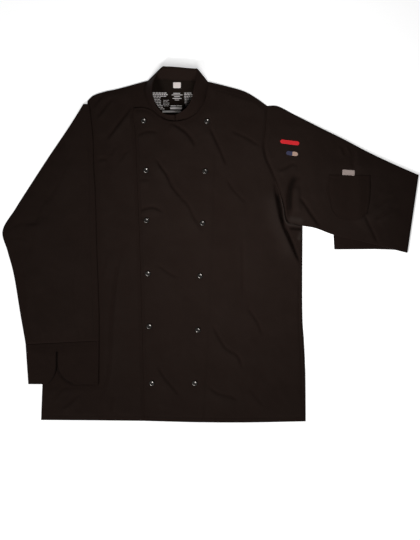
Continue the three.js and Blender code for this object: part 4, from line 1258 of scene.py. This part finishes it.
def set_studs():
    pattern = turn_stud()
    turns = np.linspace(0, 2 * math.pi, FOOT_PLACES + 1)[:-1]
    ring = [(math.cos(a) * FOOT_RADIUS * MM, math.sin(a) * FOOT_RADIUS * MM) for a in turns]
    for side, spots in (("left", LEFT_STUDS), ("right", RIGHT_STUDS)):
        for row, (x, y) in enumerate(spots, 1):
            heights = [on_over(x * MM + dx, y * MM + dy)[0] for dx, dy in ring]
            stud = new_object(f"stud_{side}_{row}_cap", pattern.data.copy())
            slope_x = sum(h * dx for h, (dx, dy) in zip(heights, ring)) / sum(dx * dx for dx, dy in ring)
            slope_y = sum(h * dy for h, (dx, dy) in zip(heights, ring)) / sum(dy * dy for dx, dy in ring)
            normal = Vector((-slope_x, -slope_y, 1)).normalized()
            turn = Vector((0, 0, 1)).rotation_difference(normal).to_matrix().to_4x4()
            turn.translation = (x * MM, y * MM, sum(heights) / len(heights) + 0.1 * MM)
            stud.data.transform(turn)
            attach(stud, "root")
            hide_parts(f"stud_{side}_{row}")
    bpy.data.objects.remove(pattern)


set_studs()
print("studs:", len(LEFT_STUDS) + len(RIGHT_STUDS))

# %% [markdown]
# The tags are short pieces of woven tape: a white one inside the neck, and three on the sleeve and
# its pocket. They are left plain.

# %% Tags
TAGS = [
    # name, surface, x, y, width, depth, turn, corner share, slot
    ("neck_tag", "back", -74, 350.5, 17, 13, 0, 0.35, "tag_white"),
    ("sleeve_tab_red", "sleeve", 174, 224.5, 42, 9, -7, 1.0, "tab_red"),
    ("sleeve_tab_small", "sleeve", 179, 200, 26, 9, -8, 1.0, "tab_two_tone"),
    ("pocket_tab", "pocket", 303, 158, 27, 12, -4, 0.2, "tab_grey"),
]
TAG_COLORS = {"tag_white": tape_white, "tab_red": tape_red, "tab_two_tone": tape_blue, "tab_grey": tape_grey}
TAG_WALL = 0.45 * MM
TAG_GAP = 0.1 * MM


def on_back(x, y):
    return CAD_CLOTH, Vector((0, 0, 1))


def make_tag(name, ground, x, y, width, depth, turn, corner, slot):
    over = {"back": on_back, "sleeve": on_right, "pocket": on_pocket}[ground]
    across, down = np.linspace(-1, 1, 29), np.linspace(1, -1, 13)
    radius = corner * depth / 2
    inner = width / 2 - radius
    reach = np.clip((np.abs(across) * width / 2 - inner) / max(radius, 0.01), 0, 1)
    narrow = depth / 2 - radius * (1 - np.sqrt(1 - 0.97 * reach**2))
    flat = np.dstack(np.broadcast_arrays(across[None] * width / 2, down[:, None] * narrow[None])) * MM
    angle = math.radians(turn)
    rotate = np.array([[math.cos(angle), math.sin(angle)], [-math.sin(angle), math.cos(angle)]])
    grid = flat @ rotate + np.array([x, y]) * MM
    low = let_down(grid, over, TAG_GAP)
    under = lifted(grid, low)[::2, ::2]
    piece = shell(f"{name}_tape", lifted(grid, low + TAG_WALL), under, TAG_COLORS[slot], flat)
    if slot == "tab_two_tone":
        piece.data.materials.append(tape_sand)
        split = Vector((math.cos(angle), math.sin(angle), 0))
        for face in piece.data.polygons:
            face.material_index = int((face.center - Vector((x * MM, y * MM, 0))).dot(split) > 1 * MM)
    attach(piece, "root")
    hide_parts(name)
    return piece


tags = [make_tag(*row) for row in TAGS]
print("tags:", len(tags))

# %% [markdown]
# The inside of the neck carries a pale print. It is left generic here: short plain bars in rows, of
# like size and tone. One bar is modelled and copied.

# %% Neck print
PRINT_ROWS = [
    # first x, last x, y, bar length, bar depth
    (-127, -94, 333.2, 5.0, 2.3), (-127, -94, 329.7, 3.6, 2.3), (-126, -92, 326.2, 6.2, 1.8),
    (-125, -108, 322.7, 4.2, 1.5), (-124, -108, 319.2, 5.6, 1.5), (-123, -108, 315.7, 3.8, 1.5),
    (-121, -108, 312.2, 5.0, 1.5), (-119, -107, 308.7, 4.4, 1.5), (-117, -106, 305.2, 5.0, 1.5),
    (-114, -104, 301.7, 3.8, 1.5), (-111, -101, 298.2, 4.0, 1.5),
    (-104, -91, 317.0, 5.5, 0.8), (-104.5, -90.5, 314.0, 4.2, 0.8), (-105, -90, 311.0, 6.4, 0.8),
    (-104.5, -91, 308.0, 3.6, 0.8), (-103, -92, 305.0, 4.8, 0.8),
    (-82, -66, 332.6, 15.0, 1.2), (-86, -62, 329.0, 24.0, 1.2), (-80, -68, 325.2, 12.0, 1.1),
    (-84, -64, 321.4, 20.0, 1.2), (-79, -69, 317.8, 10.0, 1.0),
    (-88, -63, 304.9, 11.8, 1.6), (-89, -63, 299.6, 26.0, 4.4), (-106, -65, 292.2, 41.0, 4.4),
    (-58, -39, 333.0, 4.4, 1.4), (-58, -39, 329.5, 5.4, 1.4), (-58, -40, 326.0, 3.6, 1.4),
    (-58, -40, 322.5, 4.8, 1.3), (-57, -41, 319.0, 4.0, 1.3), (-57, -43, 315.5, 5.0, 1.3),
    (-57, -44, 312.0, 3.8, 1.3), (-56, -47, 308.5, 4.2, 1.2), (-56, -49, 305.0, 3.0, 1.2),
]
BAR_GAP = 1.2
ROW_SLACK = 0.6
INK_LIFT = 0.03 * MM
INK_WALL = 0.12 * MM


def model_bar():
    """One flat bar with rounded ends, a metre long and a metre deep, to be scaled."""
    bpy.ops.object.select_all(action="DESELECT")
    bpy.ops.mesh.primitive_cube_add(size=1)
    bar = bpy.context.object
    bpy.ops.object.mode_set(mode="EDIT")
    bpy.ops.mesh.select_all(action="DESELECT")
    bpy.ops.object.mode_set(mode="OBJECT")
    for edge in bar.data.edges:
        one, other = (bar.data.vertices[i].co for i in edge.vertices)
        edge.select = abs(one.z - other.z) > 0.5
    bpy.ops.object.mode_set(mode="EDIT")
    bpy.ops.mesh.bevel(offset=0.12, segments=2, affect="EDGES")
    bpy.ops.object.mode_set(mode="OBJECT")
    points = np.array([v.co for v in bar.data.vertices])
    faces = [tuple(p.vertices) for p in bar.data.polygons]
    bpy.data.objects.remove(bar)
    return points, faces


def make_print():
    shape, faces = model_bar()
    points, all_faces = [], []
    for first, last, y, length, depth in PRINT_ROWS:
        x = first
        while x + length <= last + ROW_SLACK:
            middle = np.array([x + length / 2, y, 0]) * MM
            size = np.array([length * MM, depth * MM, INK_WALL])
            start = sum(len(p) for p in points)
            points.append(shape * size + middle + np.array([0, 0, CAD_CLOTH + INK_LIFT + INK_WALL / 2]))
            all_faces += [tuple(start + k for k in face) for face in faces]
            x += length + BAR_GAP
    piece = add_mesh("neck_print_bars", np.vstack(points), all_faces, ink_white)
    piece.data.shade_flat()
    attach(piece, "root")
    return len(points)


print("print bars:", make_print())

# %% [markdown]
# Stitching holds the look of a garment together even when it is black on black. One stitch is a
# small flattened bead of thread. It is copied along each sewing line and laid on the cloth, and
# each seam's stitches are joined into one mesh.

# %% Stitching
STITCH_LENGTH = 2.9 * MM
STITCH_PITCH = 3.7 * MM
STITCH_HALF_WIDTH = 0.24 * MM
STITCH_HALF_HEIGHT = 0.22 * MM
STITCH_LIFT = 0.05 * MM
BOUND_ROWS = np.array([0.4, 1.0, 1.6]) * MM
COLLAR_ROWS = (2, 9)


def model_stitch():
    bpy.ops.object.select_all(action="DESELECT")
    bpy.ops.mesh.primitive_uv_sphere_add(segments=6, ring_count=4, radius=1, rotation=(0, math.pi / 2, 0))
    bead = bpy.context.object
    bpy.ops.object.transform_apply(location=False, rotation=True, scale=False)
    bead.scale = (STITCH_LENGTH / 2, STITCH_HALF_WIDTH, STITCH_HALF_HEIGHT)
    bpy.ops.object.transform_apply(location=False, rotation=False, scale=True)
    points = np.array([v.co for v in bead.data.vertices])
    faces = [tuple(p.vertices) for p in bead.data.polygons]
    bpy.data.objects.remove(bead)
    return points, faces


stitch_points, stitch_faces = model_stitch()


def join_beads(name, beads):
    """One mesh of many stitches. A bead is its middle and the ways that it lies."""
    points = [stitch_points @ np.array(ways) + middle for middle, ways in beads]
    starts = range(0, len(beads) * len(stitch_points), len(stitch_points))
    faces = [tuple(start + k for k in face) for start in starts for face in stitch_faces]
    piece = add_mesh(name, np.vstack(points), faces, thread_black)
    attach(piece, "root")
    return piece


def stitches(name, runs):
    """runs: rows of a plan line and the surface that it is sewn on."""
    beads = []
    for line, over in runs:
        count = max(1, int(lengths(line)[-1] / STITCH_PITCH))
        spots = places(line, (np.arange(count) + 0.5) / count)
        ways = np.gradient(spots, axis=0) if count > 1 else np.array([line[-1] - line[0]])
        for (x, y), (way_x, way_y) in zip(spots, ways):
            height, normal = over(x, y)
            ahead = Vector((way_x, way_y, 0))
            ahead = (ahead - normal * ahead.dot(normal)).normalized()
            aside = normal.cross(ahead)
            beads.append((np.array([x, y, height + STITCH_LIFT]), [ahead, aside, normal]))
    return join_beads(name, beads)


def inside(line, distance):
    """A line moved to the left of its run by a distance."""
    way = np.gradient(line, axis=0)
    left = np.stack([-way[:, 1], way[:, 0]], 1) / np.linalg.norm(way, axis=1)[:, None]
    return line + distance * left


def mm_line(*rows):
    return smooth_line(list(rows))


front_edge = smooth_line(OVER_EDGE[1:])
over_threads = stitches("stitches_over", [
    (inside(front_edge, 6 * MM), on_over),
    (inside(smooth_line(HEM_RIGHT), 8 * MM), on_over),
    (inside(places(right_armhole, np.linspace(0.03, 0.9, 60)), -5 * MM), on_over),
    (mm_line((17, 338), (55, 329), (92, 316)), on_over),
    (mm_line((194, -45), (194, -166), (200, -278), (201, -382)), on_over),
    (inside(mm_line((-169, 298), (-149, 299), (-131, 293), (-118, 283)), -5 * MM), on_over),
])
under_threads = stitches("stitches_under", [
    (inside(smooth_line(HEM_LEFT), 8 * MM), on_under),
    (mm_line((-226, 325), (-204, 330), (-153, 342)), on_under),
])
left_threads = stitches("stitches_sleeve_left", [
    (mm_line((-268, 208), (-267, 98), (-265, 10), (-260, -120), (-258, -205)), on_left),
])
cuff_threads = stitches("stitches_cuff_left", [
    (mm_line((-403, -224), (-330, -219.5), (-249, -216)), on_left_cuff),
    (mm_line((-402, -229), (-330, -224.5), (-249, -221)), on_left_cuff),
    *[(inside(left_notch[:12], -off), on_left_cuff) for off in BOUND_ROWS],
    *[(inside(left_notch[-12:], -off), on_left_cuff) for off in BOUND_ROWS],
    (mm_line((-400, -303), (-360, -303)), on_left_cuff),
    (mm_line((-296, -304), (-250, -304)), on_left_cuff),
    (mm_line((-341, -229), (-335, -229)), on_left_cuff),
    (mm_line((-341, -231), (-335, -231)), on_left_cuff),
])
pocket_line = joined(smooth_line(POCKET_LEFT), smooth_line(POCKET_HEM), smooth_line(POCKET_RIGHT[::-1]))
pocket_threads = stitches("stitches_pocket", [
    (inside(places(pocket_line, np.linspace(0, 1, 80)), 2.2 * MM), on_pocket),
    (inside(smooth_line([POCKET_LEFT[0], POCKET_RIGHT[0]]), -9 * MM), on_pocket),
])


def stitch_collar():
    """Topstitching near the band's edge, on its outer and its inner face."""
    beads = []
    steps = np.arange(1, collar_middle.shape[1] - 1, 2)
    for level in COLLAR_ROWS:
        for side in (-1, 1):
            for step in steps:
                normal = collar_normal[level, step] * side
                ahead = collar_middle[level, step + 1] - collar_middle[level, step - 1]
                ahead = ahead / np.linalg.norm(ahead)
                middle = collar_middle[level, step] + normal * (COLLAR_WALL / 2 + STITCH_LIFT)
                beads.append((middle, [ahead, np.cross(normal, ahead), normal]))
    return join_beads("stitches_collar", beads)


collar_threads = stitch_collar()

# %% [markdown]
# Each cloth piece now hangs from the root, and the solid that it stands for is hidden.


def declare_panel(piece, node):
    finish_cloth(piece, [node])


def declare_tube(piece, node):
    finish_cloth(piece, [node])


declare_panel(back_cloth, "back_panel")
declare_panel(front_under_cloth, "front_under")
declare_panel(front_over_cloth, "front_over")
declare_tube(sleeve_left_cloth, "sleeve_left")
declare_tube(cuff_left_cloth, "cuff_left")
declare_tube(sleeve_right_cloth, "sleeve_right")
declare_tube(cuff_right_cloth, "cuff_right")
declare_panel(pocket_cloth, "sleeve_pocket")
finish_cloth(collar_cloth, ["collar"])
